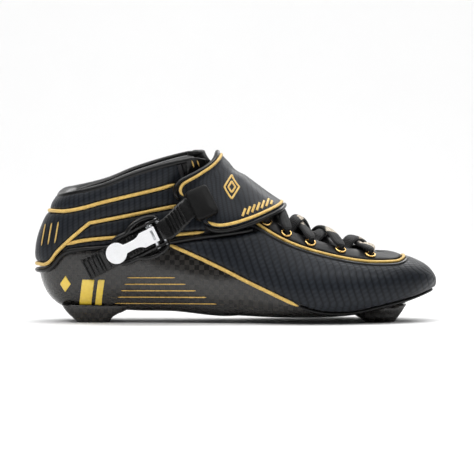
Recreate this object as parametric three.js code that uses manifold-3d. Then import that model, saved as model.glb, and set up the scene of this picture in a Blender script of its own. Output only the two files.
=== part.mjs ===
// Speed skating boot, right foot: a carbon shell with two mounting blocks, a synthetic upper,
// laces, an instep strap and a ratchet buckle. Millimetres, +X to the toe, +Y to the inner
// (medial) side, +Z up. The origin is the centre of the heel mounting plate's lower face.
import * as THREE from "three";
import { mergeVertices } from "three/addons/utils/BufferGeometryUtils.js";
import Module from "manifold-3d";

const wasm = await Module();
wasm.setup();

// ---------------------------------------------------------------- driving dimensions
const BOOT_LENGTH = 272; // heel back to toe tip
const BALL_WIDTH = 94; // widest place of the forefoot
const BOOT_HEIGHT = 118; // mounting face to the top of the ankle opening
const MOUNT_SPACING = 195; // heel plate centre to toe plate centre

const SHELL_WALL = 2.4;
const LINER_WALL = 2.8;
const CUFF_WALL = 1.5;
const VAMP_WALL = 1.7;
const EYESTAY_WALL = 1.2;
const FOOTBED_WALL = 3;
const GAP = 0.3; // between two pieces that touch

const PLATE = { length: 16, width: 30, height: 4, hole: 2.5, holeOffset: 9 };
const BLOCK_LIFT = 0.3; // how far the plates stand below the carbon blocks
const TOE_BLOCK_SHIFT = 3; // the toe block sits this far to the medial side

const PIPING = 1.1; // radius of the gold cord
const BINDING = 1.15; // radius of the black edge roll
const COLLAR_ROLL = { width: 8, height: 5.6, reach: 2.3, steps: 34 }; // reach: angle to its ends
const EYELET = { hole: 2.6, barrel: 2.95, rim: 0.85, lip: 0.6, sides: 7 }; // rim: beyond the barrel
const LACE = { width: 5, thickness: 1.4, inHole: 1.8 };

// ---------------------------------------------------------------- the last
// The surface that every layer follows. Behind the pivot its sections fan out from the front of
// the ankle, and ahead of it they are upright. Sizes are for a last of LAST, scaled to the boot.
const LAST = { length: 272.3, ball: 94, height: 118 };
const SCALE = new THREE.Vector3(
  BOOT_LENGTH / LAST.length,
  BALL_WIDTH / LAST.ball,
  BOOT_HEIGHT / LAST.height,
);
// Outlines and fields are in the LAST's millimetres, so real sizes are turned into those.
const below = (height) => height / SCALE.z;
const SEAM = below(PIPING + 2.6 * GAP); // a panel's edge to the middle of the cord beside it
const PIVOT = { x: 98, z: 120 };
const TOE_X = 232.6;
const SPLIT = 0.5; // share of the sections that fan out

// Fan angle from level, reach to the heel or sole, reach to the instep, half width, place of the
// widest point, and how square the inner and the outer half are.
const FAN = [
  [8, 112, 23, 33.5, 0.52, 2.3, 2.2],
  [14, 123, 22.5, 33.5, 0.52, 2.3, 2.3],
  [20, 137, 22, 33.5, 0.54, 2.2, 2.4],
  [26, 151, 21.5, 33.5, 0.56, 2.1, 2.4],
  [32, 160, 21.2, 33.8, 0.58, 2.0, 2.4],
  [38, 164.5, 21, 34, 0.6, 1.95, 2.5],
  [43, 161.5, 21, 34, 0.61, 1.9, 2.6],
  [48, 150.5, 21, 33.8, 0.62, 1.85, 2.7],
  [56, 135.5, 21.5, 33.5, 0.63, 1.8, 2.8],
  [70, 120.5, 23.8, 33.5, 0.66, 1.75, 3.0],
  [90, 115.8, 27.2, 35, 0.7, 1.7, 3.2],
];
// Top, bottom, half width, sideways shift, place of the widest point, inner and outer squareness.
const SLICES = [
  [92.8, 4.2, 35, -2.2, 0.7, 1.7, 3.2],
  [77.6, 3.3, 41, -2.4, 0.7, 1.65, 3.2],
  [65.8, 3, 45.3, -1.4, 0.68, 1.65, 3.2],
  [58, 3.2, 47, 0.6, 0.64, 1.7, 3.2],
  [52.5, 4.5, 45.4, 2.4, 0.6, 1.8, 3.1],
  [48.5, 7, 41.3, 4, 0.57, 1.95, 3.0],
  [45.2, 10.5, 35.5, 5.2, 0.55, 2.2, 2.8],
  [41, 14.5, 28.3, 6.2, 0.52, 2.3, 2.5],
  [36.8, 18.5, 19.4, 7, 0.5, 2.3, 2.3],
  [31.6, 22.3, 9.8, 7.6, 0.5, 2.2, 2.2],
  [26.5, 26.5, 0, 8, 0.5, 2.1, 2.1],
];

const SIDES = { lateral: -1, medial: 1 }; // signs of y
const clamp = THREE.MathUtils.clamp;
const smooth = (x) => THREE.MathUtils.smoothstep(x, 0, 1);
const rad = THREE.MathUtils.degToRad;

// A smooth function through [x, y] pairs.
function through(pairs) {
  const slope = pairs.map((_, i) => {
    const [a, b] = [pairs[Math.max(i - 1, 0)], pairs[Math.min(i + 1, pairs.length - 1)]];
    return (b[1] - a[1]) / (b[0] - a[0]);
  });
  return (x) => {
    let i = 0;
    while (i < pairs.length - 2 && x > pairs[i + 1][0]) i++;
    const [[x0, y0], [x1, y1]] = [pairs[i], pairs[i + 1]];
    const h = x1 - x0;
    const u = clamp((x - x0) / h, 0, 1);
    const [u2, u3] = [u * u, u * u * u];
    return (
      (2 * u3 - 3 * u2 + 1) * y0 +
      (u3 - 2 * u2 + u) * h * slope[i] +
      (3 * u2 - 2 * u3) * y1 +
      (u3 - u2) * h * slope[i + 1]
    );
  };
}
const columns = (rows, place) =>
  rows[0].map((_, c) => through(rows.map((row, r) => [place(row, r), row[c]])));
const fanAt = columns(FAN, (row) => row[0]);
const sliceAt = columns(SLICES, (_, r) => r / (SLICES.length - 1));

// The section of the last at s, from 0 at the ankle opening to 1 at the toe.
function section(s) {
  if (s <= SPLIT) {
    const angle = THREE.MathUtils.lerp(FAN[0][0], 90, s / SPLIT);
    const [, out, inner, half, mid, nIn, nOut] = fanAt.map((f) => f(angle));
    const [ox, oz] = [-Math.cos(rad(angle)), -Math.sin(rad(angle))];
    const shift = sliceAt[3](0) * smooth((angle - 40) / 50);
    return { x: PIVOT.x, z: PIVOT.z, ox, oz, out, inner, half, mid, nIn, nOut, shift };
  }
  const t = (s - SPLIT) / (1 - SPLIT);
  const [top, bottom, half, shift, mid, nIn, nOut] = sliceAt.map((f) => f(t));
  const x = PIVOT.x + (TOE_X - PIVOT.x) * Math.sin((t * Math.PI) / 2);
  return {
    x, z: PIVOT.z, ox: 0, oz: -1,
    out: PIVOT.z - bottom, inner: PIVOT.z - top, half, mid, nIn, nOut, shift,
  };
}

// A point of the last. a runs round the section: 0 is the heel or sole, pi the instep,
// and the lateral side has a below 0.
function lastPoint(s, a) {
  const c = section(clamp(s, 0, 1));
  const n = Math.cos(a) > 0 ? c.nOut : c.nIn;
  const r = (Math.abs(Math.cos(a)) ** n + Math.abs(Math.sin(a)) ** n) ** (-1 / n);
  const middle = c.inner + c.mid * (c.out - c.inner);
  const reach = Math.cos(a) > 0 ? c.out - middle : middle - c.inner;
  const rho = middle + reach * r * Math.cos(a);
  const y = c.shift + c.half * r * Math.sin(a);
  return new THREE.Vector3(c.x + rho * c.ox, y, c.z + rho * c.oz).multiply(SCALE);
}

// The outward normal of the last.
function lastNormal(s, a) {
  if (s > 0.9995) return new THREE.Vector3(1, 0, 0);
  const [ds, da] = [0.0015, 0.015];
  const along = lastPoint(Math.min(s + ds, 0.9999), a).sub(lastPoint(Math.max(s - ds, 0), a));
  const round = lastPoint(s, a + da).sub(lastPoint(s, a - da));
  return round.cross(along).normalize();
}

const offsetPoint = (s, a, offset) =>
  lastPoint(s, a).addScaledVector(lastNormal(s, a), offset);

// The s of the upright section at x.
const sliceShare = (x) =>
  SPLIT + (1 - SPLIT) * (Math.asin(clamp((x - PIVOT.x) / (TOE_X - PIVOT.x), 0, 1)) / (Math.PI / 2));

// The (s, a) of the last's point at x and z as seen from the side, on side -1 (lateral) or 1.
function onSide(x, z, side) {
  const [u, w] = [x / SCALE.x, z / SCALE.z];
  let s;
  if (u < PIVOT.x) {
    const angle = (Math.atan2(PIVOT.z - w, PIVOT.x - u) * 180) / Math.PI;
    s = (SPLIT * (angle - FAN[0][0])) / (90 - FAN[0][0]);
  } else s = sliceShare(u);
  s = clamp(s, 0, 1);
  const rho = (p) => Math.hypot(p.x / SCALE.x - PIVOT.x, p.z / SCALE.z - PIVOT.z);
  const depth = (p) => (u < PIVOT.x ? -rho(p) : p.z / SCALE.z);
  const want = u < PIVOT.x ? -Math.hypot(u - PIVOT.x, w - PIVOT.z) : w;
  let [lo, hi] = [0, Math.PI];
  for (let i = 0; i < 30; i++) {
    const mid = (lo + hi) / 2;
    if (depth(lastPoint(s, mid)) < want) lo = mid;
    else hi = mid;
  }
  return [s, (side * (lo + hi)) / 2];
}

// ---------------------------------------------------------------- outlines seen from the side
// Each is a list of [x, z] for the LAST's size, and is scaled with it.
const COLLAR = [
  [-40, 84.5], [-22, 88], [-8, 90.4], [8, 94], [27, 101], [45, 106], [62, 110], [90, 116],
];
const COLLAR_MEDIAL_RISE = 4;
const CUFF_LOW = [
  [-42, 35], [-34, 34], [-30, 34.8], [-26, 37.2], [-21.5, 42.8], [-17, 46.4], [-10, 48.2],
  [10, 50], [50, 53], [70, 56], [98, 59.5], [114, 62.5], [126, 68],
];
const PIPING_TOP = [
  [-42, 75.4], [-29.6, 75.4], [-18, 75.3], [-7, 77.4], [7, 81.4], [28, 86.6], [46, 91], [58, 94.6],
];
const PIPING_HEEL = [
  [-44, 41], [-39.7, 40.6], [-32.3, 39.6], [-28.4, 41.4], [-23, 48.2], [-18.4, 52.8],
  [-11.7, 58.9], [-5, 64.6], [0, 67.4], [6, 69.2], [28, 73.4], [46, 77], [60, 79.4],
  [78, 81.5],
];
const PIPING_BRANCH = [
  [-18, 52.4], [-12, 54.6], [-4, 56.2], [9.7, 57.6], [30, 58.7], [56, 59.7], [92, 62.9],
];
const VAMP_EDGE = [
  [51, 53.6], [78, 41.5], [108, 27], [138, 13.4], [150, 9.4], [164, 8], [178, 8.8], [190, 11.4],
  [202, 14], [217, 17.6], [226, 20.6], [231, 22.2], [234, 22.8],
];
const SHELL_TOP = [
  [-42, 66], [-30, 66], [-5, 64], [25, 62], [50, 58], [78, 47], [108, 33], [136, 22], [165, 17],
  [190, 20], [210, 25], [225, 29.5], [234, 31],
];
const THROAT = [
  [57, 112], [61, 99], [69, 87.5], [83, 79], [100, 73.5], [109.3, 67.6], [119.7, 60.6], [130, 55],
  [140.3, 50.8], [152.6, 47], [163.4, 44.4], [176.3, 41.9], [188, 40.6], [199, 40.4],
  [206, 40.9], [209.6, 42.2], [211.4, 43.6],
];
// Half the width of the lace opening at x, and where its round front end is.
const OPENING = through([[60, 19], [100, 17.5], [117, 16.5], [146, 19.5], [167, 19.5], [187, 17]]);
const OPENING_END = 200;
// How far the tongue reaches under the edges, less beside the ankle opening's roll.
const overlap = through([[60, 0], [70, 0.5], [86, 6], [120, 6]]);

// Distance to a smooth line, above it positive.
function lineField(pairs) {
  const line = spline(pairs, 48);
  const height = through(line);
  return (p) => {
    const [x, z] = [p.x / SCALE.x, p.z / SCALE.z];
    const near = line.slice(1).map(([bx, bz], i) => distance(x, z, line[i], [bx, bz]));
    return Math.sign(z - height(x)) * Math.min(Math.abs(z - height(x)), ...near);
  };
}
function distance(x, z, [ax, az], [bx, bz]) {
  const [ex, ez] = [bx - ax, bz - az];
  const u = clamp(((x - ax) * ex + (z - az) * ez) / (ex * ex + ez * ez), 0, 1);
  return Math.hypot(x - ax - u * ex, z - az - u * ez);
}
// Distance to a closed outline, inside it negative.
function areaField(points) {
  return (p) => {
    const [x, z] = [p.x / SCALE.x, p.z / SCALE.z];
    let [best, within] = [Infinity, false];
    points.forEach((b, i) => {
      const a = points.at(i - 1);
      best = Math.min(best, distance(x, z, a, b));
      if (a[1] > z !== b[1] > z && x < ((b[0] - a[0]) * (z - a[1])) / (b[1] - a[1]) + a[0])
        within = !within;
    });
    return within ? -best : best;
  };
}
function spline(pairs, count) {
  const points = pairs.map(([x, z]) => new THREE.Vector3(x, 0, z));
  const curve = new THREE.CatmullRomCurve3(points, false, "centripetal");
  return curve.getSpacedPoints(count).map((p) => [p.x, p.z]);
}

const collarLine = lineField(COLLAR);
const collar = (p) => collarLine(p) - COLLAR_MEDIAL_RISE * smooth(p.y / 30 + 0.5);
const cuffLow = lineField(CUFF_LOW);
const pipingTop = lineField(PIPING_TOP);
const pipingHeel = lineField(PIPING_HEEL);
const pipingBranch = lineField(PIPING_BRANCH);
const vampEdge = lineField(VAMP_EDGE);
const shellTop = lineField(SHELL_TOP);
const throat = areaField([...spline(THROAT, 60), [211.4, 90], [150, 140], [57, 140]]);
// Distance past the edge of the lace opening.
function opening(p, a) {
  const x = p.x / SCALE.x;
  const centre = (x < PIVOT.x ? SLICES[0][3] : sectionAt(x).shift) * SCALE.y;
  const half = OPENING(x);
  const ahead = Math.max(x - (OPENING_END - half), 0);
  return (Math.cos(a) > 0.2 ? 40 : 0) + Math.hypot(p.y - centre, ahead) - half;
}
const sectionAt = (x) => section(sliceShare(x));

// ---------------------------------------------------------------- building solids
const FLATNESS = 0.09; // how far merged facets may stray
const GRID = { fan: 17, slices: 13, round: 22 };

// The last's grid as triangles of (s, a) corners.
function lastGrid() {
  const corners = [];
  const rows = GRID.fan + GRID.slices;
  for (let i = 0; i < rows; i++) {
    const ahead = Math.max(i - GRID.fan, 0) / GRID.slices;
    const s = SPLIT * Math.min(i / GRID.fan, 1) + (1 - SPLIT) * ahead;
    for (let k = 0; k < GRID.round; k++) {
      corners.push([s, -Math.PI + (2 * Math.PI * k) / GRID.round]);
    }
  }
  const toe = corners.push([1, 0]) - 1;
  const triangles = [];
  const at = (i, k) => i * GRID.round + (k % GRID.round);
  for (let i = 0; i < rows; i++)
    for (let k = 0; k < GRID.round; k++) {
      const [p, q] = [at(i, k), at(i, k + 1)];
      if (i === rows - 1) triangles.push([p, q, toe]);
      else triangles.push([p, q, at(i + 1, k + 1)], [p, at(i + 1, k + 1), at(i + 1, k)]);
    }
  return { corners, triangles };
}

// Keeps the part of a grid where cut(point, a) is below 0, splitting the triangles it crosses.
function cutGrid({ corners, triangles }, cut) {
  const value = ([s, a]) => cut(lastPoint(s, a), a);
  const values = corners.map(value);
  const kept = corners.slice();
  const made = new Map();
  const between = (i, j) => {
    const key = i < j ? `${i}_${j}` : `${j}_${i}`;
    if (made.has(key)) return made.get(key);
    const [p, q] = i < j ? [corners[i], corners[j]] : [corners[j], corners[i]];
    const from = p[0] === 1 ? q[1] : p[1];
    let turn = q[0] === 1 ? 0 : q[1] - from;
    if (Math.abs(turn) > Math.PI) turn -= Math.sign(turn) * 2 * Math.PI;
    const at = (u) => [p[0] + u * (q[0] - p[0]), from + u * turn];
    const first = value(p) < 0;
    let [lo, hi] = [0, 1];
    for (let n = 0; n < 12; n++) {
      const mid = (lo + hi) / 2;
      if (value(at(mid)) < 0 === first) lo = mid;
      else hi = mid;
    }
    made.set(key, kept.push(at(clamp((lo + hi) / 2, 0.05, 0.95))) - 1);
    return made.get(key);
  };
  const result = [];
  for (const triangle of triangles) {
    const loop = [];
    triangle.forEach((i, n) => {
      const j = triangle[(n + 1) % 3];
      if (values[i] < 0) loop.push(i);
      if (values[i] < 0 !== values[j] < 0) loop.push(between(i, j));
    });
    for (let n = 1; n + 1 < loop.length; n++) result.push([loop[0], loop[n], loop[n + 1]]);
  }
  return { corners: kept, triangles: result };
}

// A closed wall between two offsets of the last, over what the cuts leave.
function wall(cuts, inner, outer) {
  const { corners, triangles } = cuts.reduce(cutGrid, lastGrid());
  const used = [...new Set(triangles.flat())];
  const number = new Map(used.map((i, n) => [i, n]));
  const positions = [outer, inner].flatMap((offset) =>
    used.flatMap((i) => {
      const [s, a] = corners[i];
      return [...offsetPoint(s, a, typeof offset === "function" ? offset(s, a) : offset)];
    }),
  );
  const n = used.length;
  const faces = [];
  const edges = new Map();
  for (const triangle of triangles) {
    const [i, j, k] = triangle.map((v) => number.get(v));
    faces.push(i, j, k, i + n, k + n, j + n);
    for (const [p, q] of [[i, j], [j, k], [k, i]]) edges.set(`${p}_${q}`, [p, q]);
  }
  for (const [p, q] of edges.values())
    if (!edges.has(`${q}_${p}`)) faces.push(p, q + n, q, p, p + n, q + n);
  return toGeometry(toManifold(solidOf(positions, faces)).simplify(FLATNESS));
}

function solidOf(positions, faces) {
  const geometry = new THREE.BufferGeometry();
  geometry.setAttribute("position", new THREE.Float32BufferAttribute(positions, 3));
  geometry.setIndex(faces);
  return geometry;
}

// Between three.js geometry and manifold-3d solids.
function toManifold(geometry) {
  const bare = geometry.clone();
  for (const name of ["normal", "uv"]) bare.deleteAttribute(name);
  const merged = mergeVertices(bare, 1e-4);
  return new wasm.Manifold(
    new wasm.Mesh({
      numProp: 3,
      vertProperties: merged.attributes.position.array,
      triVerts: new Uint32Array(merged.index.array),
    }),
  );
}
function toGeometry(manifold) {
  const mesh = manifold.getMesh();
  const positions = [];
  for (let i = 0; i < mesh.numVert; i++)
    positions.push(...mesh.vertProperties.slice(i * mesh.numProp, i * mesh.numProp + 3));
  return solidOf(positions, Array.from(mesh.triVerts));
}
const subtract = (geometry, ...tools) =>
  toGeometry(tools.reduce((solid, tool) => solid.subtract(toManifold(tool)), toManifold(geometry)));
const unite = (...parts) =>
  toGeometry(parts.map(toManifold).reduce((solid, part) => solid.add(part)));

// A closed tube of an oval section along points. across[i] is the direction of its width there,
// and sizeAt(i) its [width, height].
function sweep(points, across, sizeAt, sides) {
  const positions = [];
  const faces = [];
  const last = points.length - 1;
  points.forEach((p, i) => {
    const tangent = points[Math.min(i + 1, last)].clone().sub(points[Math.max(i - 1, 0)]);
    const up = across[i].clone().cross(tangent).normalize();
    const side = tangent.clone().cross(up).normalize();
    const [width, height] = sizeAt(i);
    for (let k = 0; k < sides; k++) {
      const a = (2 * Math.PI * (k + 0.5)) / sides;
      const q = p.clone().addScaledVector(side, (Math.cos(a) * width) / 2);
      positions.push(...q.addScaledVector(up, (Math.sin(a) * height) / 2));
    }
  });
  for (let i = 0; i < last; i++)
    for (let k = 0; k < sides; k++) {
      const [p, q] = [i * sides + k, i * sides + ((k + 1) % sides)];
      faces.push(p, q + sides, q, p, p + sides, q + sides);
    }
  const end = last * sides;
  for (let k = 1; k < sides - 1; k++) faces.push(0, k, k + 1, end, end + k + 1, end + k);
  return solidOf(positions, faces);
}

// The last's normal at whichever place lies nearest to each point.
const nearestNormals = (points, raw, places) =>
  points.map((p) => {
    const distances = raw.map((q) => q.distanceTo(p));
    return lastNormal(...places[distances.indexOf(Math.min(...distances))]);
  });

// A round cord along places on the last, [s, a] each, raised by an offset.
function cord(places, offset, radius, step, sides = 5) {
  const height = typeof offset === "function" ? offset : () => offset;
  const raw = places.map(([s, a]) => offsetPoint(s, a, height(s, a)));
  const curve = new THREE.CatmullRomCurve3(raw, false, "centripetal");
  const points = curve.getSpacedPoints(Math.round(curve.getLength() / step));
  const across = nearestNormals(points, raw, places);
  const taper = (i) => (i === 0 || i === points.length - 1 ? 0.6 : 1);
  return sweep(points, across, (i) => [2 * radius * taper(i), 2 * radius * taper(i)], sides);
}
// Places on the last under a line seen from the side.
const sidePlaces = (pairs, side, count = 40) =>
  spline(pairs, count).map(([x, z]) => onSide(x * SCALE.x, z * SCALE.z, side));
// The same for both sides, joined round the heel or round the toe.
const roundHeel = (pairs) => [...sidePlaces(pairs, -1).reverse(), ...sidePlaces(pairs, 1)];
// Places where a field is 0, one for each a, found between the ankle opening and a lower section.
function levelPlaces(field, angles, lowest) {
  return angles.map((a) => {
    let [lo, hi] = [0, lowest];
    for (let n = 0; n < 20; n++) {
      const mid = (lo + hi) / 2;
      if (field(lastPoint(mid, a)) > 0) lo = mid;
      else hi = mid;
    }
    return [(lo + hi) / 2, a];
  });
}

// ---------------------------------------------------------------- shell and lining
// A solid with rounded rectangles of [z, x0, x1, half width, corner radius] as its sections.
function loft(levels, middle) {
  const corner = 4;
  const positions = [];
  const faces = [];
  for (const [z, x0, x1, half, r] of levels)
    [[x1 - r, half - r], [x0 + r, half - r], [x0 + r, r - half], [x1 - r, r - half]].forEach(
      ([x, y], quarter) => {
        for (let i = 0; i <= corner; i++) {
          const a = ((quarter + i / corner) * Math.PI) / 2;
          positions.push(x + r * Math.cos(a), middle + y + r * Math.sin(a), z);
        }
      },
    );
  const n = 4 * (corner + 1);
  for (let l = 0; l + 1 < levels.length; l++)
    for (let k = 0; k < n; k++) {
      const [p, q] = [l * n + k, l * n + ((k + 1) % n)];
      faces.push(p, q, q + n, p, q + n, p + n);
    }
  const top = (levels.length - 1) * n;
  for (let k = 1; k + 1 < n; k++) faces.push(0, k + 1, k, top, top + k, top + k + 1);
  return solidOf(positions, faces);
}

// The whole last as one closed solid at an offset.
const lastSolid = (offset) => {
  const { corners, triangles } = lastGrid();
  const positions = corners.flatMap(([s, a]) => [...offsetPoint(s, a, offset)]);
  const faces = triangles.flat();
  for (let k = 1; k + 1 < GRID.round; k++) faces.push(0, k + 1, k);
  return solidOf(positions, faces);
};

const HEEL_BLOCK = [
  [BLOCK_LIFT, -11.3, 10.8, 19, 3], [2.5, -13.2, 11.9, 20.2, 4], [5, -16, 15.2, 21.2, 5],
  [7.5, -18.6, 21, 21.4, 7], [10, -20.5, 25, 20.4, 8], [12.5, -21, 28, 18.6, 8],
];
const TOE_BLOCK = [
  [BLOCK_LIFT, -10.6, 9.8, 19, 3], [2.5, -13.4, 11.2, 20.2, 4], [5.5, -18.5, 13.6, 20.6, 5],
  [9, -24, 16, 19, 7], [12.5, -25, 18, 15, 8],
].map(([z, x0, x1, half, r]) => [z, x0 + MOUNT_SPACING, x1 + MOUNT_SPACING, half, r]);

const box = (x, y, z, cx, cy, cz) => new THREE.BoxGeometry(x, y, z).translate(cx, cy, cz);
const upright = (radius, z0, z1, x, y, sides = 20) =>
  new THREE.CylinderGeometry(radius, radius, z1 - z0, sides)
    .rotateX(Math.PI / 2)
    .translate(x, y, (z0 + z1) / 2);

// The shell steps in where the upper lies over it.
const COVERED_STEP = 0.7;
const shellOuter = (s, a) => {
  const p = lastPoint(s, a);
  const covered = Math.max(Math.min(cuffLow(p), 60 - p.x / SCALE.x), vampEdge(p));
  return -COVERED_STEP * smooth((covered - 1) / 2);
};

function carbonShell() {
  const skin = wall([(p) => shellTop(p)], -SHELL_WALL, shellOuter);
  const inner = lastSolid(-SHELL_WALL / 2);
  const plates = [[0, 0], [MOUNT_SPACING, TOE_BLOCK_SHIFT]];
  const pockets = plates.map(([x, y]) =>
    box(PLATE.length + 2 * GAP, PLATE.width + 2 * GAP, PLATE.height + GAP, x, y,
      (PLATE.height + GAP) / 2));
  return subtract(
    unite(
      skin,
      subtract(loft(HEEL_BLOCK, 0), inner),
      subtract(loft(TOE_BLOCK, TOE_BLOCK_SHIFT), inner),
    ),
    ...pockets,
    bore("shell"),
  );
}
function mountPlate() {
  const holes = [-1, 1].map((side) =>
    upright(PLATE.hole, -1, PLATE.height + 1, 0, side * PLATE.holeOffset));
  return subtract(box(PLATE.length, PLATE.width, PLATE.height, 0, 0, PLATE.height / 2), ...holes);
}

const LINER_OUT = -SHELL_WALL - GAP;
const LINER_IN = LINER_OUT - LINER_WALL;
const ROLL_EDGE = below(COLLAR_ROLL.height + GAP); // below the collar line, where panels stop
const underRoll = (p) => collar(p) + ROLL_EDGE;
const outsideTongue = (p, a) => overlap(p.x / SCALE.x) + 0.6 - opening(p, a);

const liner = () => subtract(wall([underRoll, outsideTongue], LINER_IN, LINER_OUT), bore("liner"));
const footbed = () =>
  wall(
    [(p) => p.z - 20 * SCALE.z, (p, a) => Math.abs(a) - 1.05, (p) => -4 * SCALE.x - p.x],
    LINER_IN - 3 * GAP - FOOTBED_WALL,
    LINER_IN - 3 * GAP,
  );
const pad = (cuts) => wall([underRoll, (p) => 1 - shellTop(p), ...cuts], -SHELL_WALL, -COVERED_STEP);
const TONGUE = { edge: -2, middle: -0.4 }; // heights of its outer face
const tongueTop = (s, a) => {
  const rise = smooth((-3 - opening(lastPoint(s, a), a)) / 6);
  return TONGUE.edge + (TONGUE.middle - TONGUE.edge) * rise;
};
const tongue = () =>
  wall([(p, a) => opening(p, a) - overlap(p.x / SCALE.x)], LINER_IN, tongueTop);

// ---------------------------------------------------------------- upper
const CUFF_OUT = GAP + CUFF_WALL;
const BINDING_AT = BINDING + 3.4 * GAP; // height of a binding's middle above what it lies on
const cuffEdge = (p) => below(2 * BINDING + 2 * GAP) - cuffLow(p);
const outsideThroat = (p) => SEAM - throat(p);
const cuff = (...cuts) => wall([underRoll, cuffEdge, outsideThroat, ...cuts], GAP, CUFF_OUT);
const vamp = () =>
  wall([(p) => SEAM - vampEdge(p), (p) => GAP + cuffLow(p), outsideThroat], GAP, GAP + VAMP_WALL);
const eyestay = () => {
  const strip = wall(
    [underRoll, (p) => throat(p) + SEAM, (p, a) => GAP - opening(p, a), (p) => p.z - 88 * SCALE.z],
    GAP, GAP + EYESTAY_WALL,
  );
  const frames = EYELET_ROWS.flatMap((row) => Object.values(SIDES).map((side) => eyeletFrame(row, side)));
  const hole = EYELET.barrel / Math.cos(Math.PI / EYELET.sides);
  return subtract(strip, ...frames.map((frame) => peg(hole, 8, frame, EYELET.sides)));
};

const raised = (line, rise) => line.map(([x, z]) => [x, z + rise]);
const clipped = (line, x0, x1) => spline(line, 200).filter(([x]) => x >= x0 && x <= x1);
const pipingAt = 1.5 * GAP + PIPING;
const cuffBinding = () =>
  cord(roundHeel(raised(clipped(CUFF_LOW, -36.5, 109), below(BINDING))), BINDING_AT, BINDING, 8);
const piping = (line, x0, x1, radius = PIPING) => {
  const inside = clipped(line, x0, x1);
  return cord(roundHeel(inside), pipingAt, radius, 8);
};
const oneSide = (line, x0, x1, side) =>
  cord(sidePlaces(clipped(line, x0, x1), side), pipingAt, PIPING, 8);
const roundToe = (line, x0) => {
  const lateral = sidePlaces(clipped(line, x0, 300), -1).filter(
    ([s, a]) => s < 0.99 && Math.abs(a) > 0.06,
  );
  return [...lateral, ...lateral.map(([s, a]) => [s, -a]).reverse().slice(1)];
};
const vampBinding = () => cord(roundToe(VAMP_EDGE, 141), 0.8 + 3 * GAP, 0.8, 8);
const throatPiping = () => cord(roundToe(THROAT, 61.5), pipingAt, PIPING, 7);
const collarBinding = () => {
  const angles = Array.from({ length: 61 }, (_, i) => (i / 30 - 1) * COLLAR_ROLL.reach);
  const places = levelPlaces((p) => collar(p) + below(COLLAR_ROLL.height / 2), angles, 0.4);
  const points = places.map(([s, a]) => offsetPoint(s, a, (LINER_IN + CUFF_OUT) / 2));
  const curve = new THREE.CatmullRomCurve3(points, false, "centripetal");
  const spaced = curve.getSpacedPoints(COLLAR_ROLL.steps);
  const end = (i) => (i % COLLAR_ROLL.steps === 0 ? 0.7 : 1);
  const sizeAt = (i) => [COLLAR_ROLL.width * end(i), COLLAR_ROLL.height * end(i)];
  return sweep(spaced, nearestNormals(spaced, points, places), sizeAt, 7);
};

// ---------------------------------------------------------------- frames for hardware
// A matrix at an (s, a), raised by an offset, with Z along the surface's normal and X along a
// direction laid flat on the surface.
function frameAt([s, a], offset, direction) {
  const z = lastNormal(s, a);
  const x = direction.clone().addScaledVector(z, -direction.dot(z)).normalize();
  const y = z.clone().cross(x);
  return new THREE.Matrix4().makeBasis(x, y, z).setPosition(offsetPoint(s, a, offset));
}
const peg = (radius, height, frame, sides = 16) =>
  new THREE.CylinderGeometry(radius, radius, height, sides).rotateX(Math.PI / 2).applyMatrix4(frame);
// A turned piece from a closed profile of [radius, height].
const turned = (profile, sides = 18) =>
  new THREE.LatheGeometry([...profile, profile[0]].map(([r, z]) => new THREE.Vector2(r, z)), sides)
    .rotateX(Math.PI / 2);

const EYELET_ROWS = [[187.2, 44.6], [167, 48], [146.5, 53], [130.2, 59.6], [116.7, 67.4]];
const eyeletPlace = (row, side) => onSide(row[0] * SCALE.x, row[1] * SCALE.z, side);
const eyeletFrame = (row, side) =>
  frameAt(eyeletPlace(row, side), GAP, new THREE.Vector3(1, 0, 0));
function eyelet() {
  const top = EYESTAY_WALL + GAP;
  const flange = EYELET.barrel + EYELET.rim;
  return turned([
    [EYELET.hole, 0], [EYELET.barrel, 0], [EYELET.barrel, top],
    [flange, top], [flange - 0.4, top + EYELET.lip], [EYELET.hole, top + EYELET.lip],
  ], 12);
}

// The buckle's axis runs up towards the instep. Places beside it are [u, v]: along and across it.
const AXIS = new THREE.Vector3(0.894, 0, 0.447);
const hardwarePlace = (u, v) =>
  onSide((u * AXIS.x - v * AXIS.z) * SCALE.x, (u * AXIS.z + v * AXIS.x) * SCALE.z, -1);
const hardwareFrame = (u, v, offset) => frameAt(hardwarePlace(u, v), offset, AXIS);
const ANCHOR_BOLT = [21, 34.4];
const NUT = { thread: 1.8, barrel: 2.3, bore: 2.6, flange: 5.3, pocket: 5.8, thickness: 1.2 };
function bore(what) {
  const frame = hardwareFrame(...ANCHOR_BOLT, what === "shell" ? 0 : LINER_OUT);
  return what === "shell" ? peg(NUT.bore, 12, frame) : peg(NUT.pocket, 4.2, frame, 20);
}

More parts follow.
